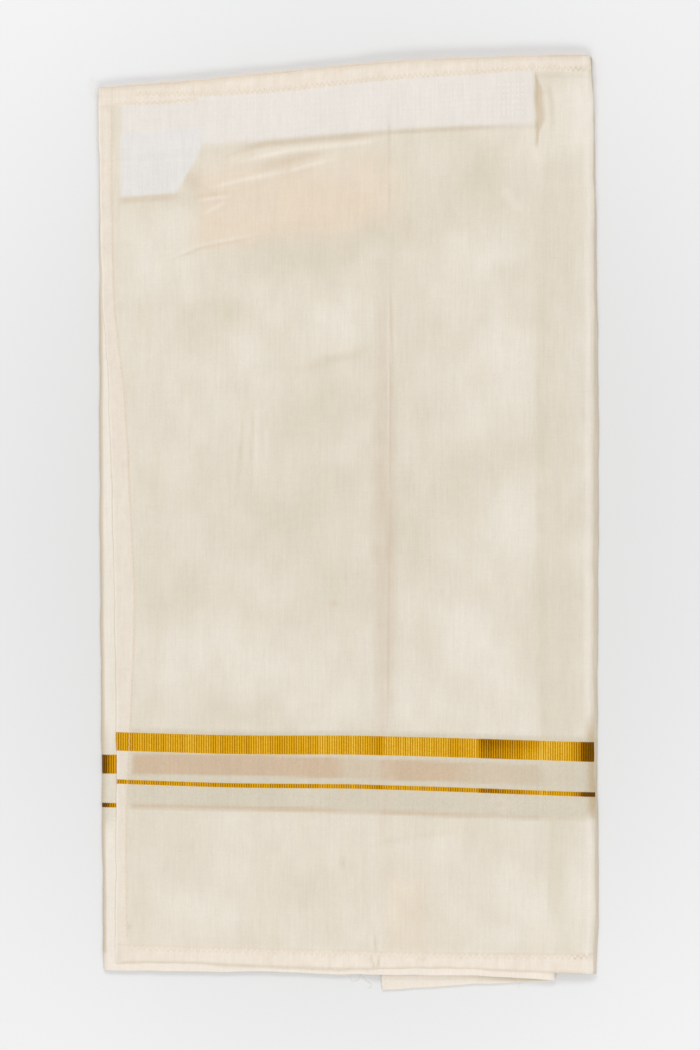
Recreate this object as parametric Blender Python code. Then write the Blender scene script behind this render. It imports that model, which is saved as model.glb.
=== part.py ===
"""A child's dhoti, a wrap of ivory silk with woven gold bands, folded flat and lying on a table.

The cloth is one length, hemmed all round and folded three times.  From the top down its stretches are:
  front_layer    from its hemmed free edge at the left to a soft fold that turns down at the right
  second_layer   turns down in a fold at the left, shows along the left side and below the hem
  inner_layer    the last stretch, its corner showing as a tongue below the hem
  back_layer     the stretch that everything lies on, with a flat underside
Where the second and inner layers are covered they share one rounded solid, hidden_layers, whose edges
are layered.  Under the front layer lie its turned hems, the hook tape of the waist closure and the
care label.

X runs across the folds, Y from the hem to the waist, Z up from the table.  Sizes are in millimetres
and become metres where the meshes are made.
"""

import math
from collections import namedtuple

import bmesh
import bpy

MM = 0.001

# Driving sizes of the folded stack.
FOLDED_WIDTH = 306.0
FOLDED_LENGTH = 571.0
CLOTH = 1.0          # wall of one layer
BACK_CLOTH = 1.4     # the back layer with its rounded folds
GAP = 0.3            # clearance between pieces that lie on each other
HEM = 10.0           # width of every turned hem
TAPE_WIDTH = 30.0
TAPE_THICK = 1.0
LABEL_LENGTH = 27.0  # the part of the label that hangs below the tape
SIDE_STRIP = 27.0    # the second layer's own wall reaches this far in from the left
HEM_STRIP = 18.0     # and this far up from its hem

# Heights of the lying layers, worked out from the walls.
STEP = CLOTH + GAP
BACK_TOP = BACK_CLOTH
INNER_TOP = BACK_TOP + STEP
SECOND_LOW_TOP = BACK_TOP + STEP
SECOND_HIGH_TOP = INNER_TOP + STEP
FRONT_LIFT = STEP    # how far a hem, the tape or the label lifts the front layer

LEFT = -FOLDED_WIDTH / 2
RIGHT = FOLDED_WIDTH / 2
WAIST = FOLDED_LENGTH / 2
FOOT = -FOLDED_LENGTH / 2

# Each outline is a smooth line through a few points: at = place along it, edge = where the edge lies.
Mark = namedtuple("Mark", "at edge")

FRONT_FREE_EDGE = [           # at Y, the left edge X
    Mark(-269, LEFT + 10.4), Mark(-132, LEFT + 11.2), Mark(2, LEFT + 9.0), Mark(75, LEFT + 6.6),
    Mark(112, LEFT + 4.8), Mark(136, LEFT + 2.6), Mark(219, LEFT + 0.8), Mark(266, LEFT),
]
FRONT_FOLD_EDGE = [           # at Y, the right fold X
    Mark(-275, 149.5), Mark(-220, 150.7), Mark(-100, 149.6), Mark(136, 150.0), Mark(250, 149.5),
    Mark(285, 148.3),
]
FRONT_WAIST_EDGE = [          # at X, the waist edge Y
    Mark(-153, 265.7), Mark(-133, 266.9), Mark(-90, 270.4), Mark(-30, 276.4), Mark(32, 281.8),
    Mark(117, 285.0), Mark(150, WAIST),
]
FRONT_HEM_EDGE = [            # at X, the hem edge Y
    Mark(-143, -268.1), Mark(-96, -268.5), Mark(-52, -270.6), Mark(0, -272.1), Mark(52, -271.4),
    Mark(93, -272.8), Mark(150, -275.4),
]
SECOND_FOLD_EDGE = [
    Mark(-273, -149.2), Mark(-130, -150.4), Mark(20, -151.4), Mark(140, -151.6), Mark(265, -151.8),
]
SECOND_INNER_FOLD = [Mark(-279, 126.3), Mark(280, 125.3)]
SECOND_HEM_EDGE = [
    Mark(-150, -272.8), Mark(-96, -273.9), Mark(-52, -273.9), Mark(0, -275.6), Mark(50, -275.8),
    Mark(93, -277.0), Mark(127, -279.1),
]
INNER_FREE_EDGE = [Mark(-285, 20.3), Mark(-270, 19.5), Mark(280, 20.5)]
INNER_HEM_EDGE = [Mark(19, FOOT), Mark(52, -283.2), Mark(80, -281.7), Mark(127, -279.1)]
BACK_FOLD_EDGE = [
    Mark(-271, 151.8), Mark(-225, 153.0), Mark(-150, 152.2), Mark(45, RIGHT), Mark(136, 152.1),
    Mark(250, 150.3), Mark(285, 148.8),
]
BACK_HEM_EDGE = [Mark(-150, -269.6), Mark(0, -270.8), Mark(152, -271.5)]

# The layers below the front one stop short of its waist edge by these amounts.
SECOND_WAIST_INSET = 1.0
INNER_WAIST_INSET = 2.0
BACK_WAIST_INSET = 1.4

# Soft folds in the front layer: centre, length and width, turn from +X in degrees, height.
Ridge = namedtuple("Ridge", "x y length width turn height")
FRONT_RIDGES = [
    Ridge(-44, 224, 96, 6.0, 10, 0.9),    # drag line under the tape
    Ridge(-48, 211, 84, 6.0, 15, 0.8),
    Ridge(-77, 199, 40, 5.5, 17, 0.7),
    Ridge(-29, 184, 180, 16.0, 16, 0.9),  # long slanting swell
    Ridge(-15, 103, 80, 12.0, 22, 0.7),
    Ridge(121, 252, 54, 6.0, 93, 1.2),    # pucker beside the tape's sewn end
    Ridge(-116, 141, 30, 9.0, 60, 0.7),
    Ridge(106, 88, 120, 30.0, 86, 0.8),
    Ridge(-112, -80, 100, 26.0, 25, 0.7),
    Ridge(60, -60, 130, 30.0, 60, 0.6),
    Ridge(18, -258, 22, 6.0, 84, 0.7),    # pinch in the hem
]

# Where a lift starts and ends around what lies under the front layer.
Patch = namedtuple("Patch", "left right near far")
TAPE_PATCH = Patch(LEFT + 13.6, 113.0, HEM + 2 * GAP, HEM + 2 * GAP + TAPE_WIDTH)
LABEL_PATCH = Patch(LEFT + 14.4, -88.4, TAPE_PATCH.far + GAP, TAPE_PATCH.far + GAP + LABEL_LENGTH)
LABEL_CURL = 14.0        # how far the label's lower right corner is drawn in
LIFT_EASE = 3.5          # over this distance the cloth comes down beside a patch
SECOND_RISE = (7.0, 19.0)     # X where the second layer climbs onto the inner one
FRONT_RISE = (5.0, 17.0)      # X where the front layer follows it
TONGUE_FALL = (271.5, 279.0)  # distance below Y = 0 where the inner layer comes down to the table

# Folds: how far the round reaches in from the edge, and the height at which it ends.
Fold = namedtuple("Fold", "reach foot")
FRONT_FOLD = Fold(22.0, BACK_TOP + GAP)
SECOND_LEFT_FOLD = Fold(4.0, 0.0)
SECOND_RIGHT_FOLD = Fold(6.0, BACK_TOP + GAP)
FOLD_STEPS = 6
BACK_ROUND = 2.2         # how far the back layer's rounded sides reach in
BACK_ROUND_STEPS = 4
BACK_ROUND_END = math.radians(75)


def ramp(value, start, end):
    """Goes smoothly from 0 at start to 1 at end."""
    share = min(1.0, max(0.0, (value - start) / (end - start)))
    return share * share * (3 - 2 * share)


def mix(a, b, share):
    return a + (b - a) * share


def edge_at(marks, at):
    """The outline at a place along it: a cubic through the marks with slopes from their neighbours."""
    last = len(marks) - 1
    if at <= marks[0].at:
        return marks[0].edge
    if at >= marks[last].at:
        return marks[last].edge
    i = max(k for k in range(last) if marks[k].at <= at)
    a, b = marks[i], marks[i + 1]
    before, after = marks[max(i - 1, 0)], marks[min(i + 2, last)]
    slope_a = (b.edge - before.edge) / (b.at - before.at)
    slope_b = (after.edge - a.edge) / (after.at - a.at)
    width = b.at - a.at
    t = (at - a.at) / width
    return ((2 * t**3 - 3 * t**2 + 1) * a.edge + (t**3 - 2 * t**2 + t) * width * slope_a
            + (3 * t**2 - 2 * t**3) * b.edge + (t**3 - t**2) * width * slope_b)


def ridge_height(ridge, x, y):
    """Height that one soft fold adds: round across its width, fading towards its ends."""
    turn = math.radians(ridge.turn)
    along = (x - ridge.x) * math.cos(turn) + (y - ridge.y) * math.sin(turn)
    across = (y - ridge.y) * math.cos(turn) - (x - ridge.x) * math.sin(turn)
    reach = min(1.0, abs(2 * along / ridge.length))
    return ridge.height * (1 - reach**2) ** 2 * math.exp(-((2 * across / ridge.width) ** 2))


def patch_cover(patch, x, from_waist):
    """1 over a patch that lies under the front layer, easing to 0 around it."""
    beside = max(patch.left - x, x - patch.right, 0.0)
    along = max(patch.near - from_waist, from_waist - patch.far, 0.0)
    return 1 - ramp(math.hypot(beside, along), GAP, LIFT_EASE + GAP)


def front_top(x, y):
    """Height of the front layer's upper face where it lies flat."""
    from_waist = edge_at(FRONT_WAIST_EDGE, x) - y
    from_hem = y - edge_at(FRONT_HEM_EDGE, x)
    from_side = x - edge_at(FRONT_FREE_EDGE, y)
    nearest_edge = min(from_waist, from_hem, from_side)
    hems = 1 - ramp(nearest_edge, HEM + GAP, HEM + GAP + LIFT_EASE)
    lift = max(hems, patch_cover(TAPE_PATCH, x, from_waist), patch_cover(LABEL_PATCH, x, from_waist))
    level = SECOND_LOW_TOP + STEP + STEP * ramp(x, *FRONT_RISE)
    return level + FRONT_LIFT * lift + sum(ridge_height(r, x, y) for r in FRONT_RIDGES)


def second_top(x, y):
    climb = ramp(x, *SECOND_RISE)
    return SECOND_LOW_TOP + STEP * climb - climb * tongue_drop(y)


def tongue_drop(y):
    """How far the inner layer has come down towards the table below the back layer's hem."""
    return (INNER_TOP - CLOTH) * ramp(-y, *TONGUE_FALL)


def inner_top(_, y):
    return INNER_TOP - tongue_drop(y)


def spaced(start, end, count):
    """count even steps from start up to but not including end."""
    return [mix(start, end, k / count) for k in range(count)]


def section(left, right, columns, left_fold, right_fold):
    """One section across a layer as (x, x of the flat beside it, angle down the fold, fold) rows."""
    rows = []
    if left_fold:
        for k in range(FOLD_STEPS):
            angle = math.radians(90) * (1 - k / FOLD_STEPS)
            rows.append((left + left_fold.reach, -1, angle, left_fold))
    rows += [(x, 0, 0.0, None) for x in columns]
    if right_fold:
        for k in range(1, FOLD_STEPS + 1):
            angle = math.radians(90) * k / FOLD_STEPS
            rows.append((right - right_fold.reach, 1, angle, right_fold))
    return rows


def layer_point(place, y, top, depth):
    """A point at this depth below a layer's upper face, on the flat or round a fold."""
    x, side, angle, fold = place
    height = top(x, y)
    if fold is None:
        return x, y, height - depth
    reach, drop = fold.reach - depth, height - depth - fold.foot
    return x + side * reach * math.sin(angle), y, fold.foot + drop * math.cos(angle)


def layer_grid(rows, columns_at, y_at, top, depth):
    """Rows of points over a layer at one depth.  columns_at and y_at give a row's places and heights."""
    grid = []
    for row in rows:
        middle = y_at(row, 0.0)
        places = columns_at(middle)
        grid.append([layer_point(place, y_at(row, place[0]), top, depth) for place in places])
    return grid


def material(name, colour, roughness, metallic=0.0):
    """A Principled material from an sRGB colour in the range 0 to 1."""
    made = bpy.data.materials.new(name)
    made.use_nodes = True
    shader = made.node_tree.nodes["Principled BSDF"]
    linear = [c / 12.92 if c <= 0.04045 else ((c + 0.055) / 1.055) ** 2.4 for c in colour]
    shader.inputs["Base Color"].default_value = (*linear, 1.0)
    shader.inputs["Roughness"].default_value = roughness
    shader.inputs["Metallic"].default_value = metallic
    made.diffuse_color = (*linear, 1.0)
    return made


def around(grid):
    """The border points of a grid in order, starting along its first row."""
    first, last = grid[0], grid[-1]
    right = [row[-1] for row in grid[1:-1]]
    left = [row[0] for row in grid[1:-1]]
    return [*first, *right, *reversed(last), *reversed(left)]


def solid(name, upper, lower, finish, rings=()):
    """One closed body between two grids of the same size; rings are loops round its sides."""
    work = bmesh.new()

    def placed(points):
        return [work.verts.new([c * MM for c in p]) for p in points]

    faces = [[placed(row) for row in grid] for grid in (upper, lower)]
    for grid in faces:
        for low, high in zip(grid, grid[1:]):
            for j in range(len(low) - 1):
                work.faces.new((low[j], low[j + 1], high[j + 1], high[j]))
    loops = [around(faces[0]), *[placed(ring) for ring in rings], around(faces[1])]
    for high, low in zip(loops, loops[1:]):
        for j in range(len(high)):
            work.faces.new((high[j - 1], high[j], low[j], low[j - 1]))
    bmesh.ops.recalc_face_normals(work, faces=work.faces)
    mesh = bpy.data.meshes.new(name)
    work.to_mesh(mesh)
    work.free()
    mesh.shade_smooth()
    mesh.set_sharp_from_angle(angle=math.radians(40))
    mesh.materials.append(finish)
    bpy.context.scene.collection.objects.link(bpy.data.objects.new(name, mesh))


# Rows of the front layer: distances from the waist and from the hem, with even rows between.
WAIST_ROWS = [0, 5, HEM + GAP, 14, 20, 27, 34, TAPE_PATCH.far + GAP, 45, 49, 53, 57.5, 62.5,
              LABEL_PATCH.far + GAP, 72.5, 77, 83, 90, 98, 107]
HEM_ROWS = [0, 5, HEM + GAP, 14, 26, 50, 80, 110, 140]
MIDDLE_ROWS = 11
FRONT_FLAT = [-118, -110, -102, -95, -88, -84, -76, -68, -60, -51, -42, -33, -24, -14, -4, 5, 8, 11,
              14, 17, 24, 35, 47, 60, 73, 86, 98, 107, 113.3, 117, 121]
FRONT_SIDE = [0, 5, HEM + GAP, 14, 19]


def front_rows():
    """(kind, value) rows from the hem up to the waist."""
    middle = [("between", (k + 1) / (MIDDLE_ROWS + 1)) for k in range(MIDDLE_ROWS)]
    return [("hem", d) for d in HEM_ROWS] + middle + [("waist", d) for d in reversed(WAIST_ROWS)]


def front_y(row, x):
    kind, value = row
    hem, waist = edge_at(FRONT_HEM_EDGE, x), edge_at(FRONT_WAIST_EDGE, x)
    if kind == "hem":
        return hem + value
    if kind == "waist":
        return waist - value
    return mix(hem + HEM_ROWS[-1], waist - WAIST_ROWS[-1], value)


def front_columns(y):
    side = [edge_at(FRONT_FREE_EDGE, y) + d for d in FRONT_SIDE]
    fold_start = edge_at(FRONT_FOLD_EDGE, y) - FRONT_FOLD.reach
    flat = FRONT_FLAT + [mix(FRONT_FLAT[-1], fold_start, 0.5), fold_start]
    return section(side[0], edge_at(FRONT_FOLD_EDGE, y), side + flat, None, FRONT_FOLD)


def build_in_front(name, rows, columns_at, depth, thick, finish):
    """The front layer itself, or a piece made from its points and moved below it."""
    grids = [layer_grid(rows, columns_at, front_y, front_top, d) for d in (depth, depth + thick)]
    solid(name, *grids, finish)


def build_front_hems(silk):
    """The turned hems under the front layer's edges."""
    under = CLOTH + GAP
    waist = [("waist", d) for d in (HEM, HEM / 2, 0.0)]
    build_in_front("front_waist_hem", waist, front_columns, under, CLOTH, silk)
    hem = [("hem", d) for d in (0.0, HEM / 2, HEM)]
    build_in_front("front_bottom_hem", hem, front_columns, under, CLOTH, silk)

    def side_columns(y):
        left = edge_at(FRONT_FREE_EDGE, y)
        return section(left, left + HEM, [left, left + HEM / 2, left + HEM], None, None)

    inside = [row for row in front_rows() if row[0] == "between" or row[1] > HEM + GAP]
    side = [("hem", HEM + 2 * GAP), *inside, ("waist", HEM + 2 * GAP)]
    build_in_front("front_side_hem", side, side_columns, under, CLOTH, silk)


def build_hook_tape(finish):
    rows = [("waist", d) for d in (TAPE_PATCH.far, 34, 27, 20, 14, TAPE_PATCH.near)]
    inner = [x for x in FRONT_FLAT if TAPE_PATCH.left < x < TAPE_PATCH.right]

    def columns(_):
        xs = [TAPE_PATCH.left, *inner, TAPE_PATCH.right]
        return section(xs[0], xs[-1], xs, None, None)

    build_in_front("hook_tape", rows, columns, CLOTH + GAP, TAPE_THICK, finish)


def build_care_label(finish):
    """The label below the tape, its lower right corner drawn in where it curls."""
    distances = [d for d in WAIST_ROWS if LABEL_PATCH.near + 1 < d < LABEL_PATCH.far - 1]
    rows = [("waist", d) for d in (LABEL_PATCH.far, *reversed(distances), LABEL_PATCH.near)]
    shares = [0, 0.15, 0.3, 0.45, 0.6, 0.75, 0.88, 1]

    def columns(y):
        from_waist = edge_at(FRONT_WAIST_EDGE, 0.0) - y
        curl = LABEL_CURL * ramp(from_waist, LABEL_PATCH.near, LABEL_PATCH.far)
        right = LABEL_PATCH.right - curl
        places = [mix(LABEL_PATCH.left, right, s) for s in shares]
        return section(LABEL_PATCH.left, right, places, None, None)

    build_in_front("care_label", rows, columns, CLOTH + GAP, CLOTH, finish)


SECOND_FLAT = [-126, -80, -40, 0, 7, 10, 13, 16, 19, 50, 85]
INNER_FLAT = [36, 56, 76, 98]


def second_hem_top(x):
    """Y where the second layer's own hem strip ends and the hidden layers begin."""
    return edge_at(SECOND_HEM_EDGE, x) + HEM_STRIP


def build_second_layer(silk):
    """What shows of the second layer: its hem strip, and above that its left fold."""

    def hem_columns(y):
        left, right = edge_at(SECOND_FOLD_EDGE, y), edge_at(SECOND_INNER_FOLD, y)
        flat = [left + SECOND_LEFT_FOLD.reach, *SECOND_FLAT, right - SECOND_RIGHT_FOLD.reach]
        return section(left, right, flat, SECOND_LEFT_FOLD, SECOND_RIGHT_FOLD)

    def hem_y(distance, x):
        return edge_at(SECOND_HEM_EDGE, x) + distance

    hem_rows = [0, 2.5, 5, 7.5, 11, HEM_STRIP]
    hem = [layer_grid(hem_rows, hem_columns, hem_y, second_top, d) for d in (0.0, CLOTH)]
    solid("second_layer_hem", *hem, silk)

    def side_columns(y):
        left = edge_at(SECOND_FOLD_EDGE, y)
        right = LEFT + SIDE_STRIP
        start = left + SECOND_LEFT_FOLD.reach
        flat = [mix(start, right, share) for share in (0, 0.25, 0.55, 1)]
        return section(left, right, flat, SECOND_LEFT_FOLD, None)

    def side_y(share, x):
        waist = edge_at(FRONT_WAIST_EDGE, x) - SECOND_WAIST_INSET
        return mix(second_hem_top(x) + GAP, waist, share)

    side_rows = [*spaced(0, 1, 14), 1]
    side = [layer_grid(side_rows, side_columns, side_y, second_top, d) for d in (0.0, CLOTH)]
    solid("second_layer_side", *side, silk)


def build_inner_layer(silk):
    """The tongue of the inner layer, up to where the hidden layers begin."""

    def columns(y):
        right = edge_at(SECOND_INNER_FOLD, y) - SECOND_RIGHT_FOLD.reach - GAP
        left = edge_at(INNER_FREE_EDGE, y)
        return section(left, right, [left, *INNER_FLAT, right], None, None)

    def y_at(share, x):
        return mix(edge_at(INNER_HEM_EDGE, x), second_hem_top(x), share)

    rows = [0, 0.12, 0.24, 0.36, 0.48, 0.62, 1]
    tongue = [layer_grid(rows, columns, y_at, inner_top, d) for d in (0.0, CLOTH)]
    solid("inner_layer", *tongue, silk)


# Profile round the hidden layers: share of the height, and how far it lies in where the layers end
# in edges and where they turn in a fold.
Ring = namedtuple("Ring", "height edge fold")
HIDDEN_RINGS = [
    Ring(0.88, 0.0, 0.5), Ring(0.66, 0.0, 0.1), Ring(0.58, 0.9, 0.0), Ring(0.50, 0.9, 0.0),
    Ring(0.42, 0.0, 0.1), Ring(0.12, 0.0, 0.5),
]
HIDDEN_CAP = Ring(1.0, 0.25, 1.4)


def build_hidden_layers(silk):
    """The covered stretches of the second and inner layers as one rounded solid.

    It is one layer thick left of the inner layer's edge and two layers thick right of it, where a
    groove round its edges parts the two.
    """
    floor = BACK_TOP + GAP
    rows = [*spaced(0, 1, 14), 1]
    left = LEFT + SIDE_STRIP + GAP
    right = edge_at(SECOND_INNER_FOLD, 0)
    fold_start = right - SECOND_RIGHT_FOLD.reach

    def point(share, x, ring):
        height = second_top(x, 0)
        groove = ramp(x, *SECOND_RISE) if ring.edge > HIDDEN_CAP.edge else 1.0
        low = second_hem_top(min(x, fold_start)) + GAP
        high = edge_at(FRONT_WAIST_EDGE, x) - SECOND_WAIST_INSET
        y = min(max(mix(low, high, share), low + ring.edge * groove), high - ring.edge * groove)
        x = min(max(x, left + ring.edge * groove), right - ring.fold)
        return x, y, mix(floor, height, ring.height)

    places = [left, *SECOND_FLAT[1:], fold_start, right]

    def grid(ring):
        return [[point(share, x, ring) for x in places] for share in rows]

    rings = [around(grid(ring)) for ring in HIDDEN_RINGS]
    lower_cap = HIDDEN_CAP._replace(height=0.0)
    solid("hidden_layers", grid(HIDDEN_CAP), grid(lower_cap), silk, rings)


def build_back_layer(silk):
    """The stretch that the stack lies on: flat below, with rounded sides."""
    half = BACK_CLOTH / 2
    turns = [BACK_ROUND_END * (1 - k / BACK_ROUND_STEPS) for k in range(BACK_ROUND_STEPS)]

    def face(direction):
        grid = []
        for share in [*spaced(0, 1, 14), 1]:
            middle = mix(edge_at(BACK_HEM_EDGE, 0), edge_at(FRONT_WAIST_EDGE, 0), share)
            left = edge_at(SECOND_FOLD_EDGE, middle) + SECOND_LEFT_FOLD.reach - 0.9
            right = edge_at(BACK_FOLD_EDGE, middle)
            places = [(left + BACK_ROUND * (1 - math.sin(t)), t) for t in turns]
            places += [(x, 0.0) for x in (left + BACK_ROUND, *spaced(-140, 140, 9)[1:],
                                          right - BACK_ROUND)]
            places += [(right - BACK_ROUND * (1 - math.sin(t)), t) for t in reversed(turns)]
            row = []
            for x, turn in places:
                waist = edge_at(FRONT_WAIST_EDGE, x) - BACK_WAIST_INSET
                y = mix(edge_at(BACK_HEM_EDGE, x), waist, share)
                row.append((x, y, half + direction * half * math.cos(turn)))
            grid.append(row)
        return grid

    solid("back_layer", face(1), face(-1), silk)


def main():
    for old in list(bpy.data.objects):
        bpy.data.objects.remove(old, do_unlink=True)
    silk = material("ivory_art_silk", (0.91, 0.88, 0.82), 0.55)
    tape = material("white_hook_tape", (0.93, 0.92, 0.92), 0.7)
    label = material("white_satin_label", (0.95, 0.95, 0.95), 0.5)
    build_back_layer(silk)
    build_hidden_layers(silk)
    build_inner_layer(silk)
    build_second_layer(silk)
    build_in_front("front_layer", front_rows(), front_columns, 0.0, CLOTH, silk)
    build_front_hems(silk)
    build_hook_tape(tape)
    build_care_label(label)


main()
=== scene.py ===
"""Looks of a child's dhoti: sheer ivory art silk with woven gold zari bands, folded flat on a table.

Each stretch of the cloth is a thin sheet on its solid's form, with its hems really turned under and
its folds rolled round to the table.  Sizes are in millimetres and become metres where meshes are made.
"""

import math
from collections import namedtuple

import bmesh
import bpy
import numpy as np
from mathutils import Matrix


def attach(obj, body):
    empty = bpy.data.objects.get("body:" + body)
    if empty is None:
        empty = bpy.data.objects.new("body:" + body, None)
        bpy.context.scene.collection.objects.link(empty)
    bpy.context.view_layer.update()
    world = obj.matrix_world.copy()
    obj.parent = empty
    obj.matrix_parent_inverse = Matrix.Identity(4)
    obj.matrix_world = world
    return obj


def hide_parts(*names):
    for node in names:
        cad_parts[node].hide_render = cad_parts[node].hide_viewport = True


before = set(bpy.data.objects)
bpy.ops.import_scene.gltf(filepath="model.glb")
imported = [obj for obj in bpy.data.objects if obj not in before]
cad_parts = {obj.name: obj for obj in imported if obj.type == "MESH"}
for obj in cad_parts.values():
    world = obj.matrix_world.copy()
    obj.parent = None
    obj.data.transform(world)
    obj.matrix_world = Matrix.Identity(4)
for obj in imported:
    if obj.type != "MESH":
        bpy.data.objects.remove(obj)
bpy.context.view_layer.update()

MM = 0.001

# Levels of the folded stack, top faces, as the solids have them.
BACK_TOP = 1.4
STEP = 1.3
SECOND_LOW_TOP = BACK_TOP + STEP
INNER_TOP = BACK_TOP + STEP
HEM = 10.0
PLY = HEM - 1          # width of the turned ply inside a hem
WAIST_LIFT = 1.3       # how far the waist hem and the hook tape raise the front layer
HEM_LIFT = 0.6         # the same for its side and foot hems, the label and the layers beneath
WAIST_DEPTH = 1.9      # how far a turned hem lies below its face
HEM_DEPTH = 0.9
TABLE = 0.04           # cloth that touches the table stays this far above it

Mark = namedtuple("Mark", "at edge")

# Outlines: at Y the side edges X, at X the waist and hem edges Y.
FRONT_FREE_EDGE = [
    Mark(-269, -142.6), Mark(-132, -141.8), Mark(2, -144.0), Mark(75, -146.4), Mark(112, -148.2),
    Mark(136, -150.4), Mark(219, -152.2), Mark(266, -153.0),
]
FRONT_FOLD_EDGE = [
    Mark(-275, 149.5), Mark(-220, 150.7), Mark(-100, 149.6), Mark(136, 150.0), Mark(250, 149.5),
    Mark(285, 148.3),
]
FRONT_WAIST_EDGE = [
    Mark(-153, 265.7), Mark(-133, 266.9), Mark(-90, 270.4), Mark(-30, 276.4), Mark(32, 281.8),
    Mark(117, 285.0), Mark(150, 285.5),
]
FRONT_HEM_EDGE = [
    Mark(-143, -268.1), Mark(-96, -268.5), Mark(-52, -270.6), Mark(0, -272.1), Mark(52, -271.4),
    Mark(93, -272.8), Mark(150, -275.4),
]
SECOND_FOLD_EDGE = [
    Mark(-273, -149.8), Mark(-130, -151.0), Mark(20, -152.0), Mark(140, -152.2), Mark(265, -152.4),
]
SECOND_INNER_FOLD = [Mark(-279, 126.3), Mark(280, 125.3)]
SECOND_HEM_EDGE = [
    Mark(-150, -272.8), Mark(-96, -273.9), Mark(-52, -273.9), Mark(0, -275.6), Mark(50, -275.8),
    Mark(93, -277.0), Mark(127, -279.1),
]
INNER_FREE_EDGE = [Mark(-285, 20.3), Mark(-270, 19.5), Mark(280, 20.5)]
INNER_HEM_EDGE = [Mark(19, -285.5), Mark(52, -283.2), Mark(80, -281.7), Mark(127, -279.1)]
BACK_FOLD_EDGE = [
    Mark(-271, 151.8), Mark(-225, 153.0), Mark(-150, 152.2), Mark(45, 153.0), Mark(136, 152.1),
    Mark(250, 150.3), Mark(285, 148.8),
]
BACK_HEM_EDGE = [Mark(-150, -269.6), Mark(0, -270.8), Mark(152, -271.5)]

# Sewn lines on the front layer.
SIDE_STITCH = [
    Mark(-257, -135.0), Mark(-180, -135.5), Mark(-100, -132.0), Mark(-50, -130.5), Mark(0, -132.5),
    Mark(80, -137.0), Mark(130, -142.5), Mark(170, -144.0), Mark(268, -144.5),
]
WAIST_STITCH = [
    Mark(-152, 259.0), Mark(-130, 260.5), Mark(-80, 261.0), Mark(-35, 264.0), Mark(0, 268.0),
    Mark(40, 271.5), Mark(80, 274.0), Mark(110, 276.0), Mark(148, 275.5),
]
LOWER_STITCH = [Mark(-152, 255.0), Mark(-112, 256.0), Mark(-92, 258.0)]
BOTTOM_STITCH = [
    Mark(-142, -257.0), Mark(-66, -259.0), Mark(0, -260.5), Mark(62, -262.0), Mark(149, -262.5),
]

# The middle of the wide woven band, and how far below it the thin one runs.
FRONT_BAND = [Mark(-142, -133.0), Mark(-70, -135.0), Mark(15, -135.5), Mark(149, -139.5)]
FRONT_BAND_STEP = [Mark(-142, 24.5), Mark(149, 26.0)]
SECOND_BAND = [Mark(-149, -147.0), Mark(-72, -147.5), Mark(0, -149.5), Mark(129, -154.0)]
SECOND_BAND_STEP = [Mark(-149, 25.0), Mark(-72, 26.0), Mark(129, 26.0)]
BAND_STEP = 25.2

# Soft folds pressed or dragged into the front layer: where, length, width, turn from +X, height.
Ridge = namedtuple("Ridge", "x y length width turn height")
FRONT_RIDGES = [
    Ridge(-44, 224, 96, 6.0, 10, 0.9),
    Ridge(-48, 211, 84, 6.0, 15, 0.8),
    Ridge(-77, 199, 40, 5.5, 17, 0.7),
    Ridge(-29, 184, 180, 16.0, 16, 0.9),
    Ridge(-15, 103, 80, 12.0, 22, 0.7),
    Ridge(121, 252, 54, 6.0, 93, 1.2),
    Ridge(-116, 141, 30, 9.0, 60, 0.7),
    Ridge(106, 88, 120, 30.0, 86, 0.8),
    Ridge(-112, -80, 100, 26.0, 25, 0.7),
    Ridge(60, -60, 130, 30.0, 60, 0.6),
    Ridge(18, -258, 22, 6.0, 84, 0.7),
]

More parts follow.
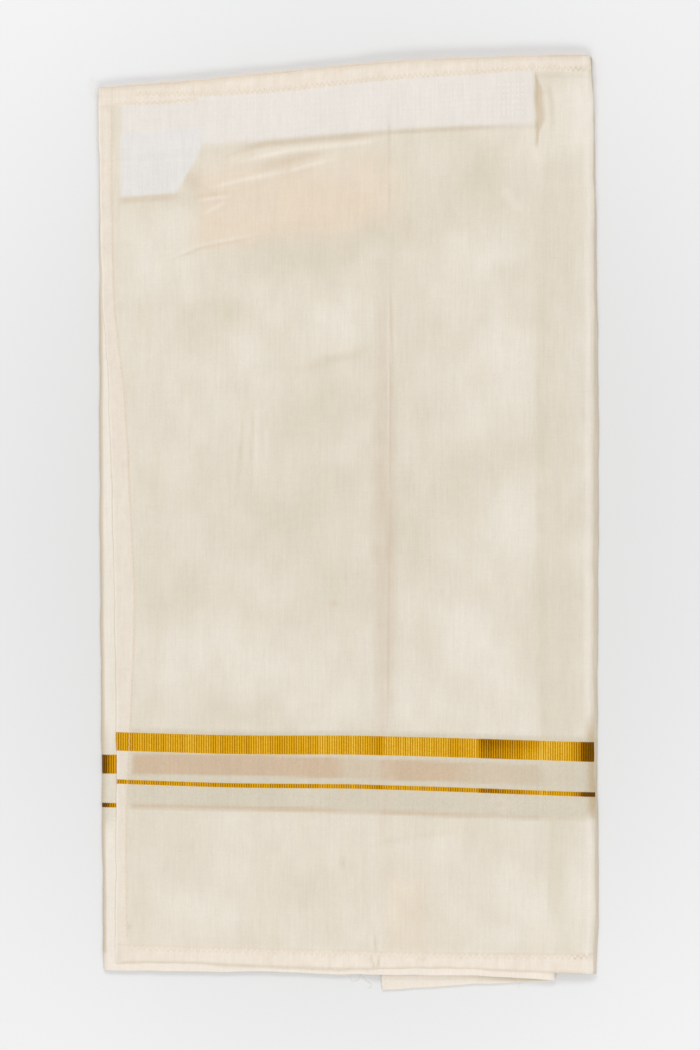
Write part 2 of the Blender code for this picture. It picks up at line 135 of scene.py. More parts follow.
# Sharper creases: points along each, width, height.  A raised one gets a painted highlight and a sunk one
# painted shade, more strongly than the relief alone would show in sheer cloth.
Crease = namedtuple("Crease", "points width height")
CREASES = [
    Crease([(-75, 224), (-62, 228.6), (-50, 232), (-10, 235.2), (27, 238.4)], 2.2, -0.2),
    Crease([(20, 238.0), (60, 240.4), (96, 242.4)], 1.3, -0.15),
    Crease([(-58, 216), (-46, 219), (-30, 223), (-12, 227.6)], 3.4, -0.15),
    Crease([(-66, 220.6), (-38, 227.6), (-13, 230), (20, 233.6)], 1.7, 0.3),
    Crease([(-86, 204.6), (-60, 210.8), (-40, 214.4)], 1.2, 0.25),
    Crease([(-38, 214.6), (-22, 219.2), (-10, 222)], 1.2, 0.25),
    Crease([(-92, 197.4), (-71, 199.8)], 1.1, 0.2),
    Crease([(-96, 198.8), (-72, 201.8)], 1.3, -0.1),
    Crease([(-90, 188), (-74, 196.8)], 1.1, 0.2),
    Crease([(-88, 205.8), (-81, 199.6)], 0.9, -0.1),
    Crease([(-111, 162), (-92, 169.6), (-58, 176)], 1.1, 0.15),
    Crease([(-109, 160.4), (-90, 168), (-57, 174.6)], 1.1, -0.1),
    Crease([(-30, 92.6), (-12, 99.6), (2, 102.8), (15, 107)], 3.6, -0.1),
    Crease([(-14, 104.4), (4, 108)], 3, 0.1),
    Crease([(-66.5, 74), (-68, 50), (-71, 22)], 0.9, 0.1),
    Crease([(-64, 70), (-66, 44), (-67, 20)], 0.9, -0.1),
    Crease([(-61.5, 76), (-62.5, 52), (-64, 26)], 0.9, 0.1),
    Crease([(-58, 66), (-60, 36)], 0.9, -0.1),
    Crease([(-55.5, 70), (-56.5, 46), (-57, 20)], 1, 0.2),
    Crease([(-50, 62), (-50.6, 28)], 1, 0.15),
    Crease([(13, -196), (30, -193), (44, -190.4), (72, -187)], 1.9, -0.05),
    Crease([(-146, 133), (-138, 138)], 1.4, 0.15),
    Crease([(-145.6, 256), (-144.8, 236), (-146.2, 218), (-145.0, 196), (-145.8, 176)], 0.8, -0.05),
    Crease([(-148.2, 252), (-147.4, 228), (-148.6, 206), (-147.6, 188)], 0.8, 0.1),
    Crease([(-150.8, 246), (-149.9, 226), (-151, 204), (-150.2, 186)], 0.7, -0.05),
    Crease([(-153, 252.6), (-144.6, 252.0)], 0.7, -0.05),
    Crease([(-152, 215), (-145.4, 219)], 0.9, 0.05),
    Crease([(-151, 170), (-145, 164)], 0.9, -0.05),
    Crease([(24.8, 254), (25.0, 230), (25.3, 180)], 0.7, -0.15),
    Crease([(24.2, 220), (24.3, 190), (24.4, 110), (24.0, 20)], 0.7, 0.15),
    Crease([(25.6, 220), (25.8, 190), (25.9, 110), (25.5, 20)], 0.6, -0.15),
    Crease([(25.0, 10), (24.4, -80), (23.6, -125)], 0.7, -0.15),
    Crease([(15.8, -250), (16.6, -262)], 0.7, -0.15),
    Crease([(13.0, -263.6), (15.9, -271.6)], 0.7, -0.25),
    Crease([(19.2, -262.8), (17.6, -271.6)], 0.7, -0.25),
    Crease([(12.4, -250), (14.6, -262)], 1.6, 0.15),
    Crease([(19.4, -250), (19.6, -262)], 1.4, 0.1),
    Crease([(-3, -247), (6, -252), (11, -246)], 2.6, 0.1),
    Crease([(94, 206), (100, 196), (108, 190)], 3, 0.15),
    Crease([(110, 244), (111.6, 230), (117, 219), (121, 230), (123, 246)], 2.6, 0.1),
    Crease([(121.6, 268), (124.6, 256), (125.4, 240)], 1.6, -0.1),
]
# Slubs and knots in the yarn.
Slub = namedtuple("Slub", "x y wide high")
SLUBS = [
    Slub(-134, -246, 1.4, 1.4), Slub(-3.5, -207, 1.4, 4.4), Slub(92, -171, 2.6, 1.4),
    Slub(-6.5, 82, 0.7, 0.9), Slub(-9.5, -49, 3.0, 2.0), Slub(45, -266, 2.6, 1.2),
]

# The front layer's drape: broad swells that stand clear of the layer below, and hollows that touch it.
DRAPE = [
    Ridge(-115, 165, 90, 40, 85, 0.35), Ridge(-80, 125, 50, 25, 0, -0.35),
    Ridge(-118, 198, 50, 20, 5, -0.35), Ridge(-60, 100, 45, 25, 75, 0.30),
    Ridge(-5, 125, 55, 32, 60, 0.40), Ridge(-10, 172, 180, 30, 13, -0.60),
    Ridge(80, 165, 65, 30, 30, 0.35), Ridge(70, 205, 80, 34, 15, -0.45),
    Ridge(95, 95, 75, 42, 90, 0.40), Ridge(-10, 75, 120, 40, 25, -0.40),
    Ridge(-30, 10, 130, 80, 80, -0.35), Ridge(40, 0, 120, 34, 90, -0.40),
    Ridge(75, 25, 65, 30, 90, -0.35), Ridge(100, 0, 70, 32, 90, 0.35),
    Ridge(-110, -45, 60, 40, 90, -0.30), Ridge(-10, -45, 80, 45, -20, -0.40),
    Ridge(-95, -80, 90, 28, 28, 0.35), Ridge(-45, -90, 95, 30, 0, 0.30),
    Ridge(-60, -118, 100, 18, 0, -0.35), Ridge(70, -75, 75, 40, 90, 0.40),
    Ridge(100, -110, 55, 34, 90, 0.40), Ridge(135, 120, 150, 16, 90, 0.20),
    Ridge(135, 250, 70, 36, 90, 0.90), Ridge(105, -242, 60, 40, 0, 0.40),
    Ridge(-25, -222, 90, 32, 0, -0.30), Ridge(-95, -235, 90, 44, 0, 0.30),
    Ridge(136, -232, 100, 30, 90, 0.55),
]
DRAPE_SHARE = 0.5      # how much of the drape's height the mesh takes
DRAPE_FULL = 0.9       # the height at which the cloth stands wholly clear

# What lies under the front layer, from its waist edge: the tape and the label below it.
Cover = namedtuple("Cover", "left right near far")
TAPE = Cover(-139.4, 113.0, 10.6, 40.6)
LABEL = Cover(-138.6, -88.4, 40.9, 67.9)
LIFT_EASE = 3.5
LABEL_EASE = 5.0       # how much more softly the cloth eases down at the left, over the label
LABEL_SIDE = (-84, -60)
HEM_EASE = 9.0         # a hem's edge shows only as a long soft slope
EDGE_SINK = 0.9        # how far a free edge settles towards the layer below it
SECOND_RISE = (7.0, 19.0)       # where the second layer climbs over the inner one
FRONT_RISE = (5.0, 17.0)        # the same for the front layer
TONGUE_FALL = (271.5, 279.0)    # where the inner layer's foot comes down to the table
SECOND_SHORT = 1.0     # how far its waist edge lies short of the front layer's
INNER_SHORT = 2.0
BACK_PAST = 1.4        # how far the back layer's waist edge lies past the front layer's
INNER_SIDE_SEWN = 7.6  # the inner layer's sewn lines, from its free edge and from its foot
INNER_FOOT_SEWN = 9.4

# Round the right fold, from the flat to under the fold: distance in from the crest, share of the way
# from the crest out to the widest line, share of the front layer's height.
FoldStep = namedtuple("FoldStep", "inward outward height")
RIGHT_FOLD = [
    FoldStep(18.0, 0, 0.998), FoldStep(14.0, 0, 0.985), FoldStep(10.0, 0, 0.955),
    FoldStep(7.0, 0, 0.92), FoldStep(4.5, 0, 0.88), FoldStep(2.6, 0, 0.835), FoldStep(1.3, 0, 0.79),
    FoldStep(0.5, 0, 0.745), FoldStep(0.0, 0, 0.70), FoldStep(0, 0.22, 0.61), FoldStep(0, 0.45, 0.50),
    FoldStep(0, 0.68, 0.38), FoldStep(0, 0.86, 0.27), FoldStep(0, 0.96, 0.17), FoldStep(0, 1.0, 0.10),
    FoldStep(0, 0.95, 0.045), FoldStep(0, 0.78, 0.012), FoldStep(0, 0.4, 0.006),
    FoldStep(0.0, 0, 0.006), FoldStep(2.0, 0, 0.006),
]
RIGHT_REACH = 22.0
CREST_STEP = 8         # the last of these steps that shows from above
ROLL = (132, 142)      # where the front layer starts to roll under
FACE_END = 150.5       # past here the tones of the face are carried on round the fold
# Round a thin fold: distance in from its edge, share of the height.
THIN_FOLD = [
    (4.0, 1.0), (2.7, 0.975), (1.6, 0.91), (0.8, 0.80), (0.3, 0.66), (0.05, 0.50), (0.0, 0.36),
    (0.12, 0.21), (0.45, 0.09), (1.0, 0.03), (2.0, 0.015), (3.0, 0.015),
]


def smooth(value, start, end):
    """Goes smoothly from 0 at start to 1 at end."""
    share = np.clip((value - start) / (end - start), 0.0, 1.0)
    return share * share * (3 - 2 * share)


def mix(a, b, share):
    return a + (b - a) * share


def along(marks, at):
    """The outline at places along it: a cubic through the marks with slopes from their neighbours."""
    places = np.array([mark.at for mark in marks], float)
    edges = np.array([mark.edge for mark in marks], float)
    at = np.clip(np.asarray(at, float), places[0], places[-1])
    i = np.clip(np.searchsorted(places, at, side="right") - 1, 0, len(marks) - 2)
    ends = np.diff(edges) / np.diff(places)
    inner = (edges[2:] - edges[:-2]) / (places[2:] - places[:-2])
    slopes = np.concatenate([ends[:1], inner, ends[-1:]])
    width = places[i + 1] - places[i]
    t = (at - places[i]) / width
    return ((2 * t**3 - 3 * t**2 + 1) * edges[i] + (t**3 - 2 * t**2 + t) * width * slopes[i]
            + (3 * t**2 - 2 * t**3) * edges[i + 1] + (t**3 - t**2) * width * slopes[i + 1])


def ridge_sum(ridges, x, y):
    """Height that soft folds add: round across their width, fading towards their ends."""
    total = np.zeros_like(x)
    for ridge in ridges:
        turn = math.radians(ridge.turn)
        along_it = (x - ridge.x) * math.cos(turn) + (y - ridge.y) * math.sin(turn)
        across = (y - ridge.y) * math.cos(turn) - (x - ridge.x) * math.sin(turn)
        reach = np.minimum(1.0, np.abs(2 * along_it / ridge.length))
        total += ridge.height * (1 - reach**2) ** 2 * np.exp(-((2 * across / ridge.width) ** 2))
    return total


def line_distance(points, x, y):
    """Distance from a line through some points, and the share of the way along it."""
    nearest, way = np.full(x.shape, 1e9), np.zeros(x.shape)
    lengths = [math.dist(a, b) for a, b in zip(points, points[1:])]
    start = 0.0
    for (ax, ay), (bx, by), length in zip(points, points[1:], lengths):
        share = np.clip(((x - ax) * (bx - ax) + (y - ay) * (by - ay)) / length**2, 0.0, 1.0)
        far = np.hypot(x - ax - share * (bx - ax), y - ay - share * (by - ay))
        way = np.where(far < nearest, (start + share * length) / sum(lengths), way)
        nearest = np.minimum(nearest, far)
        start += length
    return nearest, way


def crease_share(crease, x, y):
    far, way = line_distance(crease.points, x, y)
    taper = 0.25 + 0.75 * smooth(np.minimum(way, 1 - way), 0.0, 0.22)
    return np.exp(-((far / (crease.width * (0.5 + 0.5 * taper))) ** 2)) * taper


def cover_share(cover, x, from_waist, aside):
    """How far a flat part raises the cloth above it: sharply along its length, softly beside its ends."""
    beside = np.maximum(np.maximum(cover.left - x, x - cover.right), 0.0) * aside
    below = np.maximum(np.maximum(cover.near - from_waist, from_waist - cover.far), 0.0)
    ease = LIFT_EASE + LABEL_EASE * (1 - smooth(x, *LABEL_SIDE))
    return 1 - smooth(np.hypot(beside, below), 0.3, ease + 0.3)


def tongue_drop(y):
    return (INNER_TOP - STEP) * smooth(-y, *TONGUE_FALL)


def hem_rise(nearest):
    return HEM_LIFT * (1 - smooth(nearest, PLY, PLY + HEM_EASE))


def front_height(x, y):
    """The front layer's face where it lies flat."""
    from_waist = along(FRONT_WAIST_EDGE, x) - y
    from_hem = y - along(FRONT_HEM_EDGE, x)
    from_side = x - along(FRONT_FREE_EDGE, y)
    waist = WAIST_LIFT * (1 - smooth(from_waist, HEM + 0.3, HEM + 0.3 + LIFT_EASE))
    tape = WAIST_LIFT * cover_share(TAPE, x, from_waist, 1.0)
    label = HEM_LIFT * cover_share(LABEL, x, from_waist, 0.3)
    hems = hem_rise(np.minimum(from_hem, from_side))
    lift = np.maximum(np.maximum(waist, tape), np.maximum(label, hems))
    lift -= EDGE_SINK * smooth(-np.minimum(from_side, from_hem), -HEM, 0.0)
    level = SECOND_LOW_TOP + STEP + STEP * smooth(x, *FRONT_RISE)
    soft = ridge_sum(FRONT_RIDGES, x, y)
    soft += DRAPE_SHARE * ridge_sum(DRAPE, x, y)
    for crease in CREASES:
        soft += crease.height * crease_share(crease, x, y)
    swell = 0.10 * np.sin(x / 17.0 + np.sin(y / 41.0) * 1.7) * np.sin(y / 29.0 + x / 70.0)
    return level + lift + soft + swell - sewn_dip(x, y)


def sewn_dip(x, y):
    """How far the sewn lines draw the cloth down, with a small pucker at each stitch."""
    lines = [
        (x - along(SIDE_STITCH, y), y), (y - along(BOTTOM_STITCH, x), x), (y - along(WAIST_STITCH, x), x),
    ]
    total = np.zeros_like(x)
    for distance, run in lines:
        pull = 0.16 + 0.06 * np.sin(run * 2 * math.pi / 8.7) + 0.05 * np.sin(run * 2 * math.pi / 5.1)
        total = np.maximum(total, pull * np.exp(-((distance / 0.9) ** 2)))
    return total


def second_height(x, y):
    climb = smooth(x, *SECOND_RISE)
    fine = 0.05 * np.sin(y / 7.0) * np.sin(y / 31.0 + x / 9.0)
    from_hem = y - along(SECOND_HEM_EDGE, x)
    hem = hem_rise(from_hem) - EDGE_SINK * smooth(-from_hem, -HEM, 0.0) * (1 - climb)
    return SECOND_LOW_TOP + STEP * climb - climb * tongue_drop(y) + fine + hem


def inner_height(x, y):
    return INNER_TOP - tongue_drop(y) + 0.05 * np.sin(x / 11.0) * smooth(-y, 270, 280)


def srgb(code):
    """Linear colour from an sRGB hex code such as e4dbcc."""
    parts = [int(code[i:i + 2], 16) / 255 for i in (0, 2, 4)]
    return tuple(c / 12.92 if c <= 0.04045 else ((c + 0.055) / 1.055) ** 2.4 for c in parts)


# Tones of the art silk, one for each way that it lies.  It is sheer, so what is under it shows.
PLAIN = "e2d9c9"          # over one more layer
PALE_AND_LIT = "eee7db"          # paler: painted highlight where the cloth stands clear of the layer below and on the crests and rolls of folds, and the paler side of the lower layers' clouding
TOUCHING = "d6ccb7"       # resting on the layer below, which shows through more, and painted shade in hollows and along a fold beneath
GLOW = "e6d2ba"           # over several layers, which send back a warmer light
DOUBLED = "d5c5b1"        # over another layer's hem, which shows through, with painted shade beside its edge
SHADED = "cfbda3"         # painted shade in a crease or beside an edge; also the darker colour of the yarn's slubs
DEEP_SHADE = "c4b090"          # painted deep shade inside a fold or under an edge
HIGHLIGHT = "f1e8db"          # painted highlight on top of a crease, on turned edges and beside the front layer's edge
TURNED = "eee4d7"         # a turned hem, three plies thick
PUCKER_SHADE = "e3d5c3"         # painted shade where the hem's stitches draw it in
DENSE = "d3cab6"          # the closer woven ground round the bands
VEILED_GOLD = "ceb598"    # zari seen through the front layer
TAPE_TONE = "e7e1da"      # the hook tape seen through it
LABEL_TONE = "e4e1de"     # the label seen through it


def soft_noise(x, y, wide, high, seed):
    """Smooth unevenness from -1 to 1, in patches of about this width and height."""
    draws = np.random.default_rng(seed).uniform(-1.0, 1.0, (160, 160))
    across, up = x / wide + 80.0, y / high + 80.0
    i, j = np.floor(across).astype(int), np.floor(up).astype(int)
    share = smooth(across - i, 0.0, 1.0)
    below, above = mix(draws[i, j], draws[i + 1, j], share), mix(draws[i, j + 1], draws[i + 1, j + 1], share)
    return mix(below, above, smooth(up - j, 0.0, 1.0))


def hex_mix(base, code, share):
    return base + (np.array(srgb(code)) - base) * share[..., None]


def plain_tone(x):
    return np.zeros(x.shape + (3,)) + np.array(srgb(PLAIN))


def band_share(distance, half, soft):
    return 1 - smooth(np.abs(distance), half - soft, half + soft)


def window(value, start, rise, fall, end):
    """1 between rise and fall, easing to 0 at start and end."""
    return smooth(value, start, rise) * (1 - smooth(value, fall, end))


def draped(tone, x, y):
    """Brighter where the cloth stands clear of the layer below, a painted highlight; duller where it rests on
    it, with painted shade and more of that layer showing through.
    """
    drift_x, drift_y = 7.0 * soft_noise(x, y, 16, 16, 1), 7.0 * soft_noise(x, y, 16, 16, 2)
    lift = ridge_sum(DRAPE, x + drift_x, y + drift_y) / DRAPE_FULL
    lift += 0.18 * soft_noise(x + 0.3 * y, y, 30, 22, 3) + 0.16 * soft_noise(x, y, 9, 14, 4)
    tone = hex_mix(tone, PALE_AND_LIT, np.clip(1.1 * lift, 0, 0.9))
    return hex_mix(tone, TOUCHING, np.clip(-1.0 * lift, 0, 0.8))


def under_hook_tape(tone, x, y):
    """The warmer, closer-lying stretch below the tape."""
    slant = y - 0.12 * (x + 30)
    drift = 3.0 * soft_noise(x, y, 12, 12, 5)
    glow = window(x + drift, -100, -86, 6, 50) * window(slant + drift, 166, 184, 202, 242)
    return hex_mix(tone, GLOW, 0.72 * glow * (0.8 + 0.2 * soft_noise(x, y, 17, 14, 13)))


def over_bands(tone, x, y):
    """The closer ground round the front layer's bands, and the second layer's bands through it."""
    v = band_run(FRONT_BAND, FRONT_BAND_STEP, x, y)
    tone = hex_mix(tone, DENSE, (0.85 + 0.15 * soft_noise(x, y, 24, 9, 6)) * window(v, -43, -38, 7, 10))
    inside = smooth(x, along(SIDE_STITCH, y) + 1.5, along(SIDE_STITCH, y) + 3.5)
    # paler just before the inner layer's edge and past its middle, where the layers stand apart
    close = inside * (1 - 0.5 * window(x, -10, 0, 18, 21)) * (1 - 0.5 * smooth(x, 55, 85))
    close = close * (1 - 0.7 * smooth(x, 114, 119)) * (1 - smooth(x, *ROLL))
    wide = y - along(SECOND_BAND, x)
    tone = hex_mix(tone, VEILED_GOLD, 0.9 * close * band_share(wide, 6.2, 0.7))
    return hex_mix(tone, VEILED_GOLD, 0.65 * close * band_share(wide + along(SECOND_BAND_STEP, x), 1.4, 0.7))


def over_inner_layer(tone, x, y):
    """The inner layer's hemmed edge and the fold that closes over it, seen through the front layer, with
    painted shade beside the edge and along the fold.
    """
    uneven = 0.78 + 0.22 * soft_noise(x, y, 5, 9, 7)
    strong = window(y, -150, -20, 0, 140)
    far = np.abs(x + 0.5 * np.sin(y / 4.1) - 22) / (6.0 + 2.0 * strong)
    doubled = (0.35 + 0.4 * strong) * uneven * (1 - smooth(far, 0.45, 1.3)) * window(y, -262, -180, 110, 190)
    tone = hex_mix(tone, DOUBLED, doubled)
    tongue = window(x, 20, 26, 42, 54) * window(y, -264, -258, -228, -200)
    tone = hex_mix(tone, GLOW, 0.4 * tongue * uneven)
    # painted shade along the fold beneath, seen through the cloth
    fold = mix(117.0, 124.5, smooth(-y, 60, 200))
    seen = 0.65 * uneven * window(y, -262, -225, 120, 215)
    tone = hex_mix(tone, TOUCHING, seen * np.exp(-(((x - fold) / 3.4) ** 2)))
    return hex_mix(tone, TOUCHING, 0.3 * smooth(x, fold, fold + 3) * (1 - smooth(x, *ROLL)))


def over_tape_and_label(tone, x, y, from_waist, sewn):
    """The white tape and label seen through the cloth, and the shade below and beside the label."""
    tape = window(x, TAPE.left, TAPE.left + 2.0, TAPE.right - 1.4, TAPE.right)
    tape = tape * (1 - smooth(y, sewn - 0.4, sewn + 0.4))
    far = 40.4 - 1.5 * (1 - smooth(x, -70, -50))
    tape = tape * smooth(from_waist, 8, 9.5) * (1 - smooth(from_waist, far - 1.6, far + 2.2))
    tone = hex_mix(tone, TAPE_TONE, 0.95 * tape)
    right = -90.2 - 14.0 * smooth(from_waist, 38, 70) - 1.5 * smooth(from_waist, 60, 70)
    label = smooth(x, -139.4, -138.0) * (1 - smooth(x, right - 1.2, right + 1.2))
    label = label * smooth(from_waist, 27.5, 30.5) * (1 - smooth(from_waist, 66.4, 68.4))
    tone = hex_mix(tone, LABEL_TONE, 0.9 * label)
    under = (1 - smooth(np.abs(from_waist - 69.2), 0.5, 3.5)) * window(x, -142, -137, -112, -98)
    corner = np.exp(-(((x + 97 - 0.35 * (from_waist - 58)) / 6) ** 2) - ((from_waist - 60) / 9) ** 2)
    tone = hex_mix(tone, SHADED, 0.45 * under)
    return hex_mix(tone, SHADED, 0.45 * corner * (1 - label))


def beside_tape_end(tone, x, y):
    """Painted shade in the deep short fold that the tape's sewn end drags into the cloth."""
    centre = 114.6 + 2.2 * window(y, 232, 246, 254, 277) + 0.4 * np.sin(y / 2.6)
    wide = 1.0 + 1.9 * window(y, 236, 246, 262, 272)
    deep = (1 - smooth(np.abs(x - centre), 0.25 * wide, 1.35 * wide)) * window(y, 228, 234, 268, 278)
    tone = hex_mix(tone, SHADED, 0.8 * deep)
    return hex_mix(tone, DEEP_SHADE, 0.5 * deep * window(x, 111.8, 112.8, 113.8, 116.0))


def hems_and_sewn_lines(tone, x, y, from_waist, sewn):
    """Turned hems are thicker, so they look lighter, with mottled painted shade where their stitches draw
    them in and painted shade along edges and sewn lines.
    """
    mottle = 0.5 + 0.5 * soft_noise(x, y, 2.8, 4.5, 8)
    side, foot = along(SIDE_STITCH, y), along(BOTTOM_STITCH, x)
    hem = np.maximum(0.8 * (1 - smooth(x, side - 1.6, side + 2.2)), 1 - smooth(y, foot - 1.8, foot + 2.2))
    hem = np.maximum(hem, smooth(y, sewn - 0.8, sewn + 0.8))
    tone = hex_mix(tone, TURNED, 0.9 * hem)
    tone = hex_mix(tone, PUCKER_SHADE, 0.6 * hem * mottle)
    # painted shade along the foot hem's edge, the waist edge and the side and foot sewn lines
    at_edge = (1 - smooth(y - along(FRONT_HEM_EDGE, x), 0.2, 1.4)) * smooth(x, -142, -136)
    tone = hex_mix(tone, SHADED, 0.45 * at_edge)
    tone = hex_mix(tone, SHADED, 0.35 * (1 - smooth(from_waist, 0.4, 3.4)))
    tone = hex_mix(tone, SHADED, 0.25 * np.exp(-(((x - side) / 0.7) ** 2)) * smooth(y, -258, -250))
    return hex_mix(tone, SHADED, 0.2 * np.exp(-(((y - foot) / 0.8) ** 2)))


def front_tone(x, y):
    """The front layer's colour: ivory, with what lies beneath it showing through the sheer cloth, and painted
    light and shade.
    """
    from_waist = along(FRONT_WAIST_EDGE, x) - y
    sewn = np.minimum(along(WAIST_STITCH, x), along(LOWER_STITCH, x) + 40 * smooth(x, -92, -90))
    tone = under_hook_tape(draped(plain_tone(x), x, y), x, y)
    tone = over_inner_layer(over_bands(tone, x, y), x, y)
    tone = beside_tape_end(over_tape_and_label(tone, x, y, from_waist, sewn), x, y)
    tone = hems_and_sewn_lines(tone, x, y, from_waist, sewn)
    # painted highlight on raised creases, painted shade in sunk ones
    for crease in CREASES:
        code, strength = (HIGHLIGHT, 1.9 * crease.height) if crease.height > 0 else (SHADED, -2.6 * crease.height)
        tone = hex_mix(tone, code, min(0.65, strength) * crease_share(crease, x, y))
    for slub in SLUBS:
        near = ((x - slub.x) / slub.wide) ** 2 + ((y - slub.y) / slub.high) ** 2
        tone = hex_mix(tone, SHADED, 0.4 * np.exp(-near))
    return tone


def band_run(band, step, x, y):
    """Distance above the wide band's middle, scaled so that the thin band is always BAND_STEP below."""
    return (y - along(band, x)) * BAND_STEP / along(step, x)


NO_GOLD = -1.0         # a shine that takes the gold away


def gold_shine(x):
    """How brightly the gold shines along the front layer's bands: uneven, dull where the layers below
    end and turn it away from the light, bright before the right fold and dark down its side."""
    shine = 0.83 + 0.05 * soft_noise(x, 0 * x, 13, 10, 9)
    shine = shine - 0.2 * window(x, 12, 19.5, 20.6, 21.6) - 0.34 * window(x, 79.0, 80.4, 84, 112)
    shine = shine + 0.10 * window(x, 108, 118, 130, 136)
    return shine * (1 - 0.94 * smooth(x, 137, 146))


def put_in_scene(name, data):
    made = bpy.data.objects.new(name, data)
    bpy.context.scene.collection.objects.link(made)
    return made


# Sheets as grids of points.
Sheet = namedtuple("Sheet", "x y z u v tone shine hooks")


def turned_hem(depth, wide):
    """(inward, drop) from the turned ply's free end, round the edge, to the face."""
    radius, steps = depth / 2, 6
    arc = [math.radians(90 - 180 * k / steps) for k in range(steps + 1)]
    rounds = [(radius - radius * math.cos(a), radius + radius * math.sin(a)) for a in arc]
    return [(wide, depth), (wide / 2, depth), *rounds]


def spread(start, end, count):
    return [mix(start, end, k / count) for k in range(count)]


def sheet_object(name, sheet, material):
    """A mesh object from a grid of points, with the cloth's own coordinates and colours on it."""
    rows, columns = sheet.x.shape
    points = np.stack([sheet.x, sheet.y, sheet.z], -1).reshape(-1, 3) * MM
    index = np.arange(rows * columns).reshape(rows, columns)
    corners = np.stack([index[:-1, :-1], index[:-1, 1:], index[1:, 1:], index[1:, :-1]], -1).reshape(-1, 4)
    mesh = bpy.data.meshes.new(name)
    mesh.vertices.add(len(points))
    mesh.vertices.foreach_set("co", points.ravel())
    mesh.loops.add(corners.size)
    mesh.loops.foreach_set("vertex_index", corners.ravel())
    mesh.polygons.add(len(corners))
    mesh.polygons.foreach_set("loop_start", np.arange(0, corners.size, 4))
    mesh.polygons.foreach_set("loop_total", np.full(len(corners), 4))
    mesh.update(calc_edges=True)
    mesh.polygons.foreach_set("use_smooth", np.ones(len(corners), bool))
    weave = mesh.uv_layers.new(name="weave")
    coordinates = np.stack([sheet.u, sheet.v], -1).reshape(-1, 2) * MM
    weave.data.foreach_set("uv", coordinates[corners.ravel()].ravel())
    tone = mesh.attributes.new("tone", "FLOAT_COLOR", "POINT")
    colours = np.concatenate([sheet.tone.reshape(-1, 3), np.ones((len(points), 1))], 1)
    tone.data.foreach_set("color", colours.ravel())
    shine = mesh.attributes.new("shine", "FLOAT", "POINT")
    shine.data.foreach_set("value", sheet.shine.ravel())
    mesh.materials.append(material)
    mesh.validate()
    hooks = mesh.attributes.new("hooks", "FLOAT", "POINT")
    hooks.data.foreach_set("value", sheet.hooks.ravel())
    return put_in_scene(name, mesh)


def arc_run(x, z, anchor):
    """Distance along each row of a section, equal to X at the anchor column."""
    steps = np.hypot(np.diff(x, axis=1), np.diff(z, axis=1))
    run = np.concatenate([np.zeros((len(x), 1)), np.cumsum(steps, 1)], 1)
    return run - run[:, anchor:anchor + 1] + x[:, anchor:anchor + 1]


def inward_normals(x, z):
    """Unit vectors across a section that point into its fold."""
    dx, dz = np.gradient(x, axis=1), np.gradient(z, axis=1)
    size = np.hypot(dx, dz) + 1e-9
    return dz / size, -dx / size


def joined_drop(across, down):
    """A corner turned both ways lies a little lower than either ply."""
    return np.maximum(across, down) + 0.2 * np.minimum(across, down)


# A station is one row or column of a sheet: a mix of named lines, moved by an offset, and its drop
# below the face where the hem is turned under.
Station = namedtuple("Station", "weights offset drop")


def at(line, offset, drop=0.0):
    return Station({line: 1.0}, offset, drop)


def between(first, second, share, inset):
    """A station between two lines, each inset by so much."""
    return Station({first: 1 - share, second: share}, mix(inset[0], -inset[1], share), 0.0)


def low_hem(line, hem):
    """Stations of a hem turned under on the low side of a sheet, from the turned ply's free end."""
    return [at(line, inward, drop) for inward, drop in hem]


def high_hem(line, hem):
    """The same on the high side, up to the turned ply's free end."""
    return [at(line, -inward, drop) for inward, drop in reversed(hem)]


def weighed(stations, lines, axis):
    """The places of all stations on a grid, from the lines that they follow."""
    shape = (-1, 1) if axis == 0 else (1, -1)
    total = np.array([s.offset for s in stations], float).reshape(shape)
    for k, line in enumerate(lines):
        total = total + np.array([s.weights.get(k, 0.0) for s in stations]).reshape(shape) * line
    return total


def waver(run, size, seed):
    """Small unevenness of an edge."""
    slow = np.sin(run / 9.7 + seed) + 0.7 * np.sin(run / 5.3 + 2.1 * seed)
    return size * (slow + 0.5 * np.sin(run / 2.9 + 3.7 * seed))


def wavering(outlines, sizes, run, seed):
    """Outlines at places along them, each with its own small unevenness."""
    pairs = enumerate(zip(outlines, sizes))
    return [along(marks, run) + waver(run, size, seed + k) for k, (marks, size) in pairs]


def grid_points(rows, row_marks, columns, column_marks, row_waver, column_waver):
    """X and Y of each crossing: rows follow lines drawn over X, columns follow lines drawn over Y."""
    x = np.zeros((len(rows), len(columns)))
    for _ in range(4):
        y = weighed(rows, wavering(row_marks, row_waver, x, 0), 0)
        x = weighed(columns, wavering(column_marks, column_waver, y, 5), 1)
    return x, y


def drops(stations, axis):
    return np.array([s.drop for s in stations]).reshape((-1, 1) if axis == 0 else (1, -1))


def shifted(marks, by):
    return [Mark(mark.at, mark.edge + by) for mark in marks]


def hook_share(x, y):
    """Where the hook tape's rows show, most of all at its sewn end."""
    from_waist = along(FRONT_WAIST_EDGE, x) - y
    down = window(from_waist, 12.5, 14.5, 36, 38.5)
    return down * (0.3 * window(x, *LABEL_SIDE, 108, 110) + 0.7 * window(x, 90.5, 92, 106, 108))


def uneven_spread(stretches):
    """Shares from 0 to 1, set closer in some stretches.  Each is (end of the stretch, count)."""
    shares, start = [], 0.0
    for end, count in stretches:
        shares += spread(start, end, count)
        start = end
    return shares


